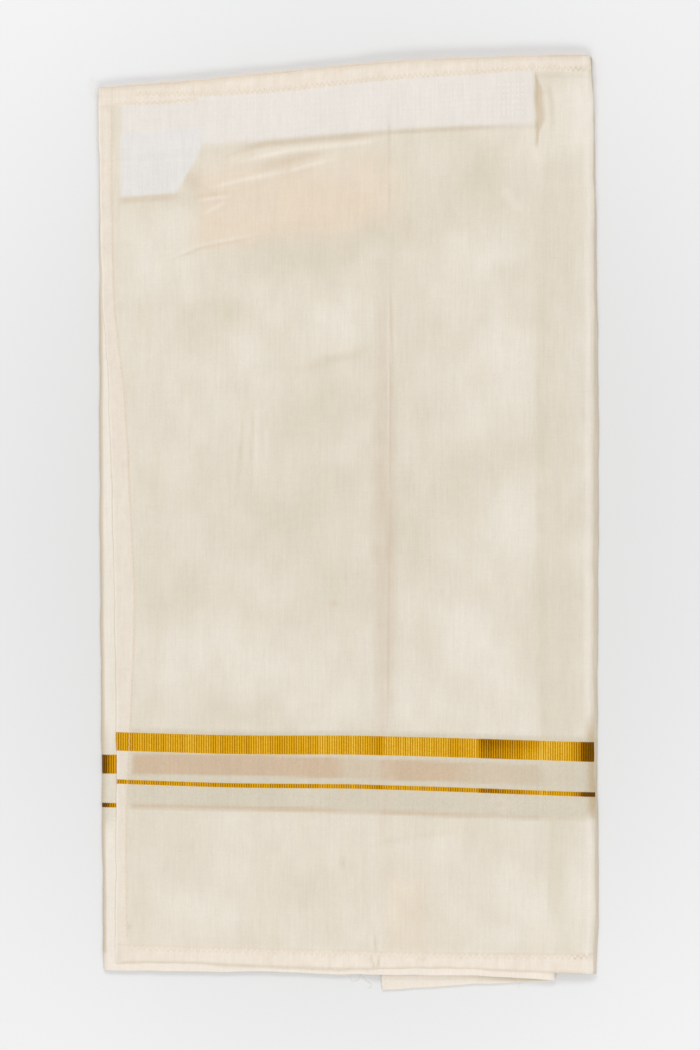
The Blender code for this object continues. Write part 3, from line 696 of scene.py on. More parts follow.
# Stations beside a sewn line and across a hem.  Between the hems, rows run closer in the creased top
# fifth and at the foot, columns at the middle crease and towards the right fold.
SEWN_REACH = 2.4
SEWN_OFFSETS = [-SEWN_REACH, -1.2, -0.6, 0.0, 0.6, 1.2, SEWN_REACH]
HEM_SHARES = [0.12, 0.3, 0.5, 0.7]
FRONT_ROWS = [(0.04, 18), (0.78, 244), (1.0, 118)]
FRONT_COLUMNS = [(0.535, 86), (0.592, 14), (0.612, 12), (0.9, 47), (1.0, 26)]


def sewn_hem(hem):
    """Stations from a turned ply on the low side, across the hem to just past its sewn line."""
    across = [between(0, 1, share, (1.0, SEWN_REACH)) for share in HEM_SHARES]
    return low_hem(0, hem) + across + [at(1, d) for d in SEWN_OFFSETS]


def rolled_tone(tone, x, y, turned, rolled):
    """The front layer's colour, carried on round its turned edges and its fold, with painted highlight and
    shade on them.
    """
    # a painted highlight on the turned edges, so that an edge that lies on the layer below shows no line of
    # shade
    on_layer = turned + 1 - smooth(x - along(FRONT_FREE_EDGE, y), 0.3, 1.6)
    tone = hex_mix(tone, HIGHLIGHT, 0.8 * np.clip(on_layer, 0, 1) * smooth(along(FRONT_WAIST_EDGE, x) - y, 4, 12))
    # painted highlight on the crest of the fold, except at the bands, where it is painted deep shade, and
    # painted shade down its side
    from_crest = x - along(FRONT_FOLD_EDGE, y)
    at_bands = window(y, -184, -172, -134, -112)
    on_top = rolled <= CREST_STEP
    crest = window(from_crest, -7, -4.6, -2.6, -1.2) * on_top
    side = smooth(rolled, CREST_STEP - 1.4, CREST_STEP + 0.6)
    tone = hex_mix(tone, PALE_AND_LIT, 0.6 * crest * (1 - at_bands))
    tone = hex_mix(tone, DEEP_SHADE, 0.9 * at_bands * smooth(from_crest, -6.5, -1.5) * on_top)
    tone = hex_mix(tone, SHADED, 0.4 * side)
    return hex_mix(tone, DEEP_SHADE, 0.6 * side * smooth(y, 262, 270))


def front_sheet():
    """The front layer: hems turned under at the left, waist and foot, a fold rolled under at the right."""
    foot, waist = turned_hem(HEM_DEPTH, PLY), turned_hem(WAIST_DEPTH, PLY)
    rows = sewn_hem(foot)
    rows += [between(1, 2, share, (SEWN_REACH, SEWN_REACH)) for share in uneven_spread(FRONT_ROWS)[1:]]
    rows += [at(2, d) for d in SEWN_OFFSETS]
    rows += [between(2, 3, 1 - share, (SEWN_REACH, 2.0)) for share in reversed(HEM_SHARES)]
    rows += high_hem(3, waist)
    columns = sewn_hem(foot)
    face = uneven_spread(FRONT_COLUMNS)[1:]
    columns += [between(1, 2, share, (SEWN_REACH, RIGHT_REACH)) for share in face] + [at(2, -RIGHT_REACH)]
    columns += [Station({2: 1 - f.outward, 3: f.outward}, -f.inward, 0.0) for f in RIGHT_FOLD]
    x, y = grid_points(rows, [FRONT_HEM_EDGE, BOTTOM_STITCH, WAIST_STITCH, FRONT_WAIST_EDGE],
                       columns, [FRONT_FREE_EDGE, SIDE_STITCH, FRONT_FOLD_EDGE, BACK_FOLD_EDGE],
                       (0.16, 0.0, 0.0, 0.16), (0.16, 0.0, 0.24, 0.16))
    flat = len(columns) - len(RIGHT_FOLD)
    z = front_height(np.minimum(x, x[:, flat - 1:flat]), y)
    for k, step in enumerate(RIGHT_FOLD):
        z[:, flat + k] = np.maximum(z[:, flat - 1] * step.height, TABLE)
    normal_x, normal_z = inward_normals(x, z)
    normal_x[:, :flat] = 0.0
    normal_z[:, :flat] = -1.0
    drop = joined_drop(drops(columns, 1), drops(rows, 0))
    turned = smooth(drops(columns, 1) + 0 * x, 0.02, 0.3)
    rolled = np.concatenate([np.full(flat, -1.0), np.arange(len(RIGHT_FOLD))])[None, :] * np.ones_like(x)
    tone = rolled_tone(front_tone(np.minimum(x, FACE_END), y), x, y, turned, rolled)
    # the band's upper half is duller past the inner layer, and no gold shows below the crest
    v = band_run(FRONT_BAND, FRONT_BAND_STEP, x, y)
    shine = gold_shine(x) - 0.16 * smooth(v, -4, 5) * window(x, 78, 81, 112, 124)
    shine = np.where(rolled <= CREST_STEP, shine, NO_GOLD)
    return Sheet(x + drop * normal_x, y, z + drop * normal_z, arc_run(x, z, flat - 1), v, tone, shine,
                 hook_share(x, y))


def clouded(x, y, seed):
    """Ivory with faint clouding, for stretches that lie below the front one."""
    light = 0.5 + 0.5 * soft_noise(x, y, 28, 34, seed)
    return hex_mix(plain_tone(x), PALE_AND_LIT, 0.2 + 0.4 * light)


def second_tone(x, y, left):
    """The second layer's colour: painted shade down its left fold with a painted highlight on its roll, and
    pale beside the front layer's edge, a painted highlight.
    """
    from_fold = x - along(SECOND_FOLD_EDGE, y)
    from_front = along(FRONT_FREE_EDGE, y) - x
    at_bands = window(y, -190, -176, -134, -112)
    tone = hex_mix(clouded(x, y, 10), PALE_AND_LIT, 0.6 * left * window(from_fold, 1.5, 3.0, 5.0, 9.0))
    tone = hex_mix(tone, SHADED, 0.8 * left * (1 - smooth(from_fold, 0.9, 2.6)))
    tone = hex_mix(tone, SHADED, 0.5 * left * (1 - smooth(from_fold, 1.5, 6.0)) * at_bands)
    tone = hex_mix(tone, HIGHLIGHT, 0.6 * window(from_front, -2.0, -0.4, 0.3, 1.8))
    tone = hex_mix(tone, DENSE, 0.4 * window(y, -190, -175, -145, -125))
    tone = hex_mix(tone, TURNED, 0.8 * (1 - smooth(y - along(SECOND_HEM_EDGE, x), 8.5, 10.5)))
    return hex_mix(tone, TURNED, 0.8 * smooth(y - along(FRONT_WAIST_EDGE, x), -12.0, -10.5))


def second_sheet():
    """The second layer: folds down to the table at the left and over the inner layer at the right."""
    hem = turned_hem(HEM_DEPTH, PLY - 1)
    rows = low_hem(0, hem) + [at(0, d) for d in (1.2, 2.2, 3.4, 4.8, 6.4, 8.2)]
    rows += [between(0, 1, share, (9.0, 2.0)) for share in spread(0, 1, 180)]
    rows += [at(1, -2.0), at(1, -1.0)] + high_hem(1, hem)
    fold = len(THIN_FOLD)
    columns = [at(0, inward) for inward, _ in reversed(THIN_FOLD)]
    columns += [at(0, d) for d in (5.0, 6.2, 7.4, 8.6, 9.8, 11.0, 13.0, 16.0)]
    columns += [between(0, 1, share, (20.0, 12.0)) for share in spread(0, 1, 56)]
    columns += [at(1, -d) for d in (12.0, 9.0, 7.5)] + [at(1, -1.5 * inward) for inward, _ in THIN_FOLD]
    x, y = grid_points(rows, [SECOND_HEM_EDGE, shifted(FRONT_WAIST_EDGE, -SECOND_SHORT)],
                       columns, [SECOND_FOLD_EDGE, SECOND_INNER_FOLD], (0.18, 0.1), (0.16, 0.1))
    z = second_height(x, y)
    last = len(columns) - fold
    for k, (_, height) in enumerate(reversed(THIN_FOLD)):
        z[:, k] = np.maximum(z[:, fold] * height, TABLE)
    # its inner fold comes down to just above the back layer, and to the table past that layer's foot
    low = BACK_TOP + 0.4 - tongue_drop(y[:, last - 1]) * 0.9
    for k, (_, height) in enumerate(THIN_FOLD):
        z[:, last + k] = mix(np.maximum(low, 0.1), z[:, last - 1], height)
    drop = drops(rows, 0) * np.ones_like(x)
    # near the fold at the left the turned ply is squeezed between its face and the table
    under = np.maximum(z - drop, mix(TABLE, z, 0.3))
    left = 1 - smooth(np.arange(len(columns))[None, :] * np.ones_like(x), fold + 4, fold + 5)
    # its gold is painted darker down the left fold, as shade
    return Sheet(x, y, under, arc_run(x, z, fold), band_run(SECOND_BAND, SECOND_BAND_STEP, x, y),
                 second_tone(x, y, left), 0.7 * smooth(x, -152, -142), np.zeros_like(x))


INNER_BAND = [Mark(19, -149.0), Mark(127, -143.5)]
BACK_BAND = [Mark(-150, -134.8), Mark(152, -136.2)]
EVEN_STEP = [Mark(-152, BAND_STEP), Mark(152, BAND_STEP)]


def inner_sheet():
    """The inner layer, from its hemmed free end to the fold that the second layer makes over it."""
    hem = turned_hem(HEM_DEPTH, PLY - 1)
    rows = low_hem(0, hem) + [at(0, 0.8 * d) for d in range(1, 24)]
    rows += [between(0, 1, share, (19.2, 2.0)) for share in spread(0, 1, 60)]
    rows += [at(1, -2.0), at(1, -1.0)] + high_hem(1, hem)
    columns = low_hem(0, hem)
    columns += [at(0, d) for d in (1.2, 2.4, 3.6, 4.8, 6.0, 7.0, INNER_SIDE_SEWN, 8.2, 9.0, 10.5)]
    columns += [between(0, 1, share, (12.0, 8.0)) for share in spread(0, 1, 50)]
    columns += [at(1, -d) for d in (8.0, 7.0, 6.0, 5.0, 4.0)]
    x, y = grid_points(rows, [INNER_HEM_EDGE, shifted(FRONT_WAIST_EDGE, -INNER_SHORT)],
                       columns, [INNER_FREE_EDGE, SECOND_INNER_FOLD], (0.2, 0.0), (0.14, 0.0))
    z = inner_height(x, y)
    # it bends down into the fold at its right
    z[:, -4:] -= np.array([0.05, 0.15, 0.35, 0.6]) * (1 - smooth(-y[:, -4:], 268, 276))
    from_side = x - along(INNER_FREE_EDGE, y) - INNER_SIDE_SEWN
    from_foot = y - along(INNER_HEM_EDGE, x) - INNER_FOOT_SEWN
    from_cover = along(SECOND_HEM_EDGE, x) - y
    z -= 0.10 * np.exp(-((from_side / 0.8) ** 2))
    z = np.maximum(z, TABLE + HEM_DEPTH)
    drop = joined_drop(drops(columns, 1), drops(rows, 0))
    tone = clouded(x, y, 11)
    tone = hex_mix(tone, TURNED, 0.7 * (1 - smooth(np.minimum(from_side, from_foot), -0.4, 0.6)))
    # painted shade and deep shade under the second layer's hem edge
    tone = hex_mix(tone, SHADED, 0.5 * (1 - smooth(from_cover, 0.3, 1.8)))
    tone = hex_mix(tone, DEEP_SHADE, 0.4 * window(x, 70, 96, 124, 127) * (1 - smooth(from_cover, 0.5, 4.0)))
    return Sheet(x, y, z - drop, arc_run(x, z, len(hem)), band_run(INNER_BAND, EVEN_STEP, x, y), tone,
                 np.full_like(x, 0.7), np.zeros_like(x))


# Soft hollows that the cloth leaves above the table on the underside.
BACK_HOLLOWS = [
    Ridge(-60, 120, 160, 16.0, 14, 0.35), Ridge(40, 40, 180, 18.0, -12, 0.30),
    Ridge(-30, -60, 140, 14.0, 24, 0.32), Ridge(80, -180, 120, 14.0, 70, 0.28),
    Ridge(-100, -190, 90, 12.0, 60, 0.26), Ridge(95, 190, 110, 12.0, 84, 0.30),
    Ridge(-20, 226, 150, 9.0, 6, 0.28), Ridge(20, -235, 60, 7.0, 80, 0.25),
]


def back_sheet():
    """The back layer, which lies flat on the table with its hems turned up inside the stack."""
    hem = turned_hem(BACK_TOP - 0.1, PLY)
    across = (3.0, 5.0, 7.0, 8.4, 9.0, 9.6)
    rows = low_hem(0, hem) + [at(0, d) for d in across]
    rows += [between(0, 1, share, (11.0, 11.0)) for share in spread(0, 1, 220)] + [at(1, -11.0)]
    rows += [at(1, -d) for d in reversed(across)] + high_hem(1, hem)
    columns = [between(0, 1, share, (2.2, 3.0)) for share in spread(0, 1, 130)] + [at(1, -3.0)]
    x, y = grid_points(rows, [BACK_HEM_EDGE, shifted(FRONT_WAIST_EDGE, BACK_PAST)],
                       columns, [SECOND_FOLD_EDGE, FRONT_FOLD_EDGE], (0.15, 0.15), (0.0, 0.0))
    from_foot = y - along(BACK_HEM_EDGE, x)
    from_waist = along(FRONT_WAIST_EDGE, x) + BACK_PAST - y
    from_sewn = np.minimum(np.abs(from_foot - PLY), np.abs(from_waist - PLY))
    lying = TABLE + 0.02
    z = lying + ridge_sum(BACK_HOLLOWS, x, y) + 0.12 * np.exp(-((from_sewn / 0.9) ** 2))
    ends = smooth(np.minimum(x - x[:, :1], x[:, -1:] - x), 0.0, 8.0)
    z = mix(lying, z, ends)
    tone = clouded(x, y, 12)
    tone = hex_mix(tone, TURNED, 0.85 * (1 - smooth(np.minimum(from_foot, from_waist), 8.6, 9.8)))
    # warmer along its waist edge, where it shows past the front layer
    tone = hex_mix(tone, GLOW, 0.6 * (1 - smooth(from_waist, 1.6, 4.0)))
    tone = hex_mix(tone, DENSE, 0.7 * window(y, -180, -165, -128, -106))
    shine = 0.62 + 0.2 * np.sin(x / 19.0) + 0.1 * np.sin(x / 5.0)
    return Sheet(x, y, z + drops(rows, 0), x, band_run(BACK_BAND, EVEN_STEP, x, y), tone, shine,
                 np.zeros_like(x))


# Materials.

def rgba(code):
    return (*srgb(code), 1.0)


def new_material(name):
    material = bpy.data.materials.new(name)
    material.use_nodes = True
    material.node_tree.nodes.clear()
    return material, material.node_tree


def add(tree, kind, inputs=(), out=0, **settings):
    """Adds a node and gives one of its outputs.  Inputs are values or links, by name, number or order."""
    node = tree.nodes.new("ShaderNode" + kind)
    for name, value in settings.items():
        setattr(node, name, value)
    named = inputs if isinstance(inputs, dict) else dict(enumerate(inputs))
    for name, value in named.items():
        if isinstance(value, bpy.types.NodeSocket):
            tree.links.new(value, node.inputs[name])
        else:
            node.inputs[name].default_value = value
    return node.outputs[out] if node.outputs else None


FIRST, SECOND, MIXED = 6, 7, 2      # a mix node's colour sockets, whose names its other sockets share
RIB_PITCH = 1.45       # gold weft floats between dark binding warps
RIB_NOTCH = 0.35       # how far the bands' edges step in between the ribs
GOLD_WIDE_HALF = 5.95
GOLD_THIN_HALF = 1.5
THREAD_PITCH = 0.55    # drawn coarser than the real 0.25 mm, which is too fine to show
HOOK_PITCH = 1.6       # from one moulded hook of the tape to the next
# The same hooks as they show through the cloth, drawn coarser, because 1.6 mm is too fine to show.
VEILED_HOOKS_ALONG = 2.9
VEILED_HOOKS_ACROSS = 3.5

# Unevenness of yarn and cloth: width along the weft, length along the warp, detail, seed.
YARN = {
    "warp": (0.95, 30.0, 2.0, 1.5),
    "weft": (20.0, 0.95, 2.0, 7.5),
    "grain": (1.0, 1.0, 1.0, 3.5),
    "slub": (1.4, 11.0, 1.0, 9.5),
    "cloud": (16.0, 20.0, 4.0, 5.5),
    "pucker": (5.0, 6.5, 1.0, 17.5),
    "speckle": (1.1, 1.1, 1.0, 21.5),
    "floats": (1.9, 400.0, 0.0, 12.5),
    # sparkle: painted glints on the gilt
    "sparkle": (0.7, 0.5, 1.0, 14.5),
}
# How strongly each one lightens and darkens the ivory ground; the pucker's share is painted light and shade
# of small puckers.
GROUND = {"warp": 0.10, "weft": 0.04, "grain": 0.09, "slub": 0.07, "cloud": 0.09, "pucker": 0.03}
# Gilt thread, from the dark binding lines to the brightest floats.
GILT = [(0.0, "6a4200"), (0.3, "a66c02"), (0.6, "dc9e10"), (0.85, "f2b820"), (1.0, "ffd660")]
GILT_START = -0.70     # where the gilt's level starts, before its parts are added
SPECKLED_MIDDLE = -15.0     # the middle of the speckled ground, from the wide band's middle
SPECKLED = 34.0        # how far from there it ends
SPECKLED_FULL = 20.0   # and how far it is at its full strength
SPECKLE_STRENGTH = 0.16


def yarn_patterns(tree, cloth):
    """Unevenness of each kind in YARN, drawn out along the weft and the warp."""
    patterns = {}
    for name, (wide, long, detail, seed) in YARN.items():
        spot = add(tree, "VectorMath", [cloth, (1 / wide, 1 / long, 1.0), (0.0, 0.0, seed)],
                   operation="MULTIPLY_ADD")
        patterns[name] = add(tree, "TexNoise", {
            "Vector": spot, "Scale": 1.0, "Detail": detail, "Roughness": 0.6}, "Fac")
    return patterns


def weave_waves(tree, u, v):
    """What comes back at an even pitch: the zari's ribs, the threads and the tape's hooks."""
    waves = {}
    for name, run, pitch, shape in (
        ("ribs", u, RIB_PITCH, "COSINE"),
        ("warp threads", u, THREAD_PITCH, "SINE"), ("weft threads", v, THREAD_PITCH, "SINE"),
        ("hooks along", u, VEILED_HOOKS_ALONG, "COSINE"), ("hooks across", v, VEILED_HOOKS_ACROSS, "COSINE"),
    ):
        turn = add(tree, "Math", [run, 2 * math.pi / pitch], operation="MULTIPLY")
        waves[name] = add(tree, "Math", [turn], operation=shape)
    return waves


def zari_bands(tree, v, rib, shine):
    """Where the cloth is gold, and where the thin band runs, with edges that follow the ribs."""
    from_thin = add(tree, "Math", [v, BAND_STEP], operation="ADD")
    bands = []
    for from_middle, half in ((v, GOLD_WIDE_HALF), (from_thin, GOLD_THIN_HALF)):
        far = add(tree, "Math", [from_middle], operation="ABSOLUTE")
        far = add(tree, "Math", [rib, RIB_NOTCH, far], operation="MULTIPLY_ADD")
        bands.append(add(tree, "MapRange", {"Value": far, "From Min": half + 0.22, "From Max": half - 0.06}))
    wide_band, thin_band = bands
    gold = add(tree, "Math", [wide_band, thin_band], operation="MAXIMUM")
    # a shine of -0.5 or less means no gold
    gilded = add(tree, "Math", [shine, 4.0, 2.0], operation="MULTIPLY_ADD", use_clamp=True)
    return add(tree, "Math", [gold, gilded], operation="MULTIPLY"), thin_band


def gilt_thread(tree, floats, thin_band, shine, yarn):
    """Gilt: dark binding lines, bright floats, uneven from rib to rib, a little duller in the thin band, with
    painted reflection from the shine and painted glints from the sparkle.
    """
    level = GILT_START
    for part, strength in (
        (floats, 0.46), (yarn["floats"], 0.24), (yarn["sparkle"], 0.40), (shine, 0.95), (thin_band, -0.09),
    ):
        level = add(tree, "Math", [part, strength, level], operation="MULTIPLY_ADD")
    gilt = add(tree, "ValToRGB", [level], "Color")
    ramp = gilt.node.color_ramp
    while len(ramp.elements) < len(GILT):
        ramp.elements.new(0.5)
    for element, (position, code) in zip(ramp.elements, GILT):
        element.position = position
        element.color = rgba(code)
    return gilt


def ivory_ground(tree, tone, v, yarn):
    """The tone, lightened and darkened by streaks and grain, and speckled round the bands."""
    ground = 1 - sum(GROUND.values()) / 2
    for name, strength in GROUND.items():
        ground = add(tree, "Math", [yarn[name], strength, ground], operation="MULTIPLY_ADD")
    far = add(tree, "Math", [v, SPECKLED_MIDDLE], operation="SUBTRACT")
    far = add(tree, "Math", [far], operation="ABSOLUTE")
    close = add(tree, "MapRange", {
        "Value": far, "From Min": SPECKLED, "From Max": SPECKLED_FULL, "To Max": SPECKLE_STRENGTH})
    speckle = add(tree, "Math", [yarn["speckle"], 0.5], operation="SUBTRACT")
    ground = add(tree, "Math", [speckle, close, ground], operation="MULTIPLY_ADD")
    return add(tree, "VectorMath", {0: tone, "Scale": ground}, operation="SCALE")


def hooks_through_cloth(tree, colour, waves, hooks):
    """The tape's rows of hooks, faint through the cloth."""
    dots = add(tree, "Math", [waves["hooks along"], waves["hooks across"]], operation="MAXIMUM")
    dots = add(tree, "Math", [dots, -0.028, 0.01], operation="MULTIPLY_ADD")
    dots = add(tree, "Math", [dots, hooks, 1.0], operation="MULTIPLY_ADD")
    return add(tree, "VectorMath", {0: colour, "Scale": dots}, operation="SCALE")


def weave_relief(tree, gold, floats, waves, yarn):
    """Warp and weft threads on the silk, rounded floats on the zari, in millimetres."""
    relief = 0.0
    for part, height in (
        (waves["warp threads"], 0.006), (waves["weft threads"], 0.006),
        (yarn["warp"], 0.07), (yarn["weft"], 0.025),
    ):
        relief = add(tree, "Math", [part, height, relief], operation="MULTIPLY_ADD")
    rounded = add(tree, "Math", [floats, 0.14], operation="MULTIPLY")
    relief = add(tree, "Mix", {"Factor": gold, "A": relief, "B": rounded})
    return add(tree, "Bump", {"Height": relief, "Strength": 0.6, "Distance": MM})


def art_silk_with_zari():
    """Art silk, plain woven from smooth filament: a soft satin gloss, faint slubs along the warp, and
    zari bands, gilt thread floated over ribs that glint and go dark by turns."""
    material, tree = new_material("ivory_art_silk_with_zari")
    weave = add(tree, "UVMap", uv_map="weave")
    cloth = add(tree, "VectorMath", {0: weave, "Scale": 1 / MM}, operation="SCALE")
    u, v, _ = add(tree, "SeparateXYZ", [cloth]).node.outputs
    tone = add(tree, "Attribute", out="Color", attribute_name="tone")
    shine = add(tree, "Attribute", out="Fac", attribute_name="shine")
    hooks = add(tree, "Attribute", out="Fac", attribute_name="hooks")
    yarn = yarn_patterns(tree, cloth)
    waves = weave_waves(tree, u, v)
    rib = add(tree, "Math", [waves["ribs"], 0.5, 0.5], operation="MULTIPLY_ADD")
    floats = add(tree, "MapRange", {"Value": rib, "From Min": 0.95, "From Max": 0.35})
    gold, thin_band = zari_bands(tree, v, rib, shine)
    silk = ivory_ground(tree, tone, v, yarn)
    gilt = gilt_thread(tree, floats, thin_band, shine, yarn)
    colour = add(tree, "Mix", {"Factor": gold, FIRST: silk, SECOND: gilt}, MIXED, data_type="RGBA")
    surface = add(tree, "BsdfPrincipled", {
        "Base Color": hooks_through_cloth(tree, colour, waves, hooks),
        "Metallic": add(tree, "Math", [gold, 0.4], operation="MULTIPLY"),
        "Roughness": add(tree, "Math", [gold, -0.14, 0.52], operation="MULTIPLY_ADD"),
        "Specular IOR Level": add(tree, "Math", [gold, -0.25, 0.3], operation="MULTIPLY_ADD"),
        "Normal": weave_relief(tree, gold, floats, waves, yarn),
    })
    add(tree, "OutputMaterial", {"Surface": surface})
    return material


def two_toned(tree, pattern, codes, relief, roughness):
    """A surface that a pattern takes from one colour to another.  Relief is its strength and its depth."""
    first, second = map(rgba, codes)
    strength, depth = relief
    colour = add(tree, "Mix", {"Factor": pattern, FIRST: first, SECOND: second}, MIXED, data_type="RGBA")
    bump = add(tree, "Bump", {"Height": pattern, "Strength": strength, "Distance": depth * MM})
    surface = add(tree, "BsdfPrincipled", {"Base Color": colour, "Roughness": roughness, "Normal": bump})
    add(tree, "OutputMaterial", {"Surface": surface})


THREAD_TWIST = 0.7     # from ply to ply along the sewing thread
RIBBON_THREADS = (8.3, 0.385)     # length and width of the streaks that the ribbon's threads make


def spun_thread():
    """Spun polyester sewing thread: two plies twisted together, matt, a little lighter than the cloth."""
    material, tree = new_material("spun_sewing_thread")
    where = add(tree, "TexCoord", out="Object")
    # a wave texture of scale 1 runs through ten radians in each metre
    twist = add(tree, "TexWave", {
        "Vector": where, "Scale": 2 * math.pi / (10 * THREAD_TWIST * MM), "Distortion": 1.5},
        "Fac", bands_direction="DIAGONAL")
    two_toned(tree, twist, ("e2d2b8", "f6ecdb"), (0.4, 0.05), 0.75)
    return material


def woven_hook_tape():
    """Nylon hook tape: a stiff woven ground with rows of moulded hooks 1.6 mm apart, matt white."""
    material, tree = new_material("woven_nylon_hook_tape")
    where = add(tree, "TexCoord", out="Object")
    waves = []
    for run in ("X", "Y"):
        turn = add(tree, "SeparateXYZ", [where], run)
        turn = add(tree, "Math", [turn, 2 * math.pi / (HOOK_PITCH * MM)], operation="MULTIPLY")
        waves.append(add(tree, "Math", [turn], operation="SINE"))
    hooks = add(tree, "Math", waves, operation="MULTIPLY")
    hooks = add(tree, "Math", [hooks, 0.5, 0.5], operation="MULTIPLY_ADD")
    two_toned(tree, hooks, ("dcd8d6", "f4f2f1"), (0.7, 0.3), 0.7)
    return material


def satin_label_ribbon():
    """Polyester satin ribbon: fine cross threads under a glossy face, bare of print."""
    material, tree = new_material("white_satin_ribbon")
    where = add(tree, "TexCoord", out="Object")
    long, wide = RIBBON_THREADS
    threads = add(tree, "Mapping", {"Vector": where, "Scale": (1 / (long * MM), 1 / (wide * MM), 1.0)})
    fine = add(tree, "TexNoise", {"Vector": threads, "Scale": 1.0, "Detail": 2.0}, "Fac")
    two_toned(tree, fine, ("e6e5e4", "f8f8f7"), (0.3, 0.1), 0.38)
    return material


MOTTLE = 111.0         # size of the laminate's mottle
MIDDLE_SHADE = (0.2, 0.46)     # where the painted shade goes from greyer to paler, in metres from the middle
MIDDLE_SHADE_ACROSS = 1.5      # how much narrower than long the greyer part is


def pale_table():
    """Pale matt laminate with a very faint mottle, and painted shade that makes it a touch greyer in the
    middle.
    """
    material, tree = new_material("pale_matt_laminate")
    where = add(tree, "TexCoord", out="Object")
    mottle = add(tree, "TexNoise", {"Vector": where, "Scale": 1 / (MOTTLE * MM), "Detail": 2.0}, "Fac")
    mottle = add(tree, "Math", [mottle, 0.5], operation="SUBTRACT")
    oval = add(tree, "Mapping", {"Vector": where, "Scale": (MIDDLE_SHADE_ACROSS, 1.0, 1.0)})
    far = add(tree, "VectorMath", [oval], "Value", operation="LENGTH")
    middle_shade = add(tree, "MapRange", {"Value": far, "From Min": MIDDLE_SHADE[0], "From Max": MIDDLE_SHADE[1]},
               interpolation_type="SMOOTHSTEP")
    level = add(tree, "Math", [mottle, 0.1, middle_shade], operation="MULTIPLY_ADD", use_clamp=True)
    colour = add(tree, "Mix", {
        "Factor": level, FIRST: rgba("e3e3e2"), SECOND: rgba("efeff0")}, MIXED, data_type="RGBA")
    surface = add(tree, "BsdfPrincipled", {
        "Base Color": colour, "Roughness": 0.8, "Specular IOR Level": 0.2})
    add(tree, "OutputMaterial", {"Surface": surface})
    return material


# Sewing.

THREAD_SIDES = 6
STITCH_FORM = [(0.0, 0.35), (0.18, 0.9), (0.5, 1.0), (0.82, 0.9), (1.0, 0.35)]    # (way along, thickness)
STITCH_RISE = 0.10     # how far a stitch arches over the cloth
STITCH_CLEAR = 0.01    # how far its ends stay above it
STITCH_GAP = 0.25      # from one leg to the next
STITCH_RUN = 120       # points along a sewn line


def thread_loop(work, start, end, width):
    """One stitch: a short round thread that dips into the cloth at both ends."""
    way = np.array(end) - np.array(start)
    length = float(np.hypot(way[0], way[1]))
    ahead = way / length
    side = np.array([-ahead[1], ahead[0], 0.0])
    up = np.array([0.0, 0.0, 1.0])
    rings = []
    for share, size in STITCH_FORM:
        centre = np.array(start) + way * share + up * STITCH_RISE * math.sin(math.pi * share)
        radius = size * width / 2
        ring = []
        for k in range(THREAD_SIDES):
            angle = k * 2 * math.pi / THREAD_SIDES
            point = centre + side * radius * math.cos(angle) + up * radius * math.sin(angle)
            ring.append(work.verts.new([float(c) * MM for c in point]))
        rings.append(ring)
    for low, high in zip(rings, rings[1:]):
        for k in range(THREAD_SIDES):
            work.faces.new((low[k - 1], low[k], high[k], high[k - 1]))
    work.faces.new(list(reversed(rings[0])))
    work.faces.new(rings[-1])


def stitches(name, runs, height, material):
    """All zigzag legs of some sewn lines as one object.  A run is (points, leg length, width, zigzag)."""
    work = bmesh.new()
    for points, length, width, zigzag in runs:
        points = np.array(points, float)
        steps = np.concatenate([[0], np.cumsum(np.hypot(*np.diff(points, axis=0).T))])
        ahead = math.sqrt(length**2 - zigzag**2)
        count = int(steps[-1] / (ahead + STITCH_GAP))
        for k in range(count):
            a = (k + 0.1) * steps[-1] / count
            ends = [np.array([np.interp(t, steps, points[:, 0]), np.interp(t, steps, points[:, 1])])
                    for t in (a, a + ahead)]
            way = ends[1] - ends[0]
            side = np.array([-way[1], way[0]]) / np.hypot(*way)
            lean = zigzag * (1 if k % 2 else -1) / 2
            wander = 0.16 * math.sin(k * 2.7) + 0.14 * math.sin(k * 0.37)
            flat = [ends[0] + side * (wander - lean), ends[1] + side * (wander + lean)]
            ends = [(*p, float(height(p[:1], p[1:])[0]) + STITCH_CLEAR) for p in flat]
            thread_loop(work, *ends, width)
    bmesh.ops.recalc_face_normals(work, faces=work.faces)
    mesh = bpy.data.meshes.new(name)
    work.to_mesh(mesh)
    work.free()
    mesh.shade_smooth()
    mesh.materials.append(material)
    return put_in_scene(name, mesh)


def line_over_y(marks, start, end, shift):
    return [(float(along(marks, y)) + shift, y) for y in spread(start, end, STITCH_RUN) + [end]]


def line_over_x(marks, start, end, shift):
    return [(x, float(along(marks, x)) + shift) for x in spread(start, end, STITCH_RUN) + [end]]


def sew_front(thread):
    """Zigzag rows along the hems: one leg each way, with their inner points on the sewn line."""
    runs = [
        (line_over_y(SIDE_STITCH, -254, 256, -0.2), 2.1, 0.34, 0.7),
        (line_over_x(BOTTOM_STITCH, -134, 149, -2.0), 3.3, 0.36, 2.9),
        (line_over_x(WAIST_STITCH, -130, 148, 1.8), 3.1, 0.38, 2.8),
        (line_over_x(LOWER_STITCH, -143, -92, 1.2), 2.4, 0.36, 1.9),
    ]
    return stitches("hem_stitching", runs, front_height, thread)


def loose_thread(name, points, width, material):
    """A frayed end of thread lying on the table or out of a hem."""
    curve = bpy.data.curves.new(name, "CURVE")
    curve.dimensions = "3D"
    curve.bevel_depth = width / 2 * MM
    curve.bevel_resolution = 2
    curve.resolution_u = 6
    spline = curve.splines.new("NURBS")
    spline.points.add(len(points) - 1)
    for point, place in zip(spline.points, points):
        point.co = (*[c * MM for c in place], 1.0)
    spline.use_endpoint_u = True
    spline.order_u = 3
    curve.materials.append(material)
    return put_in_scene(name, curve)


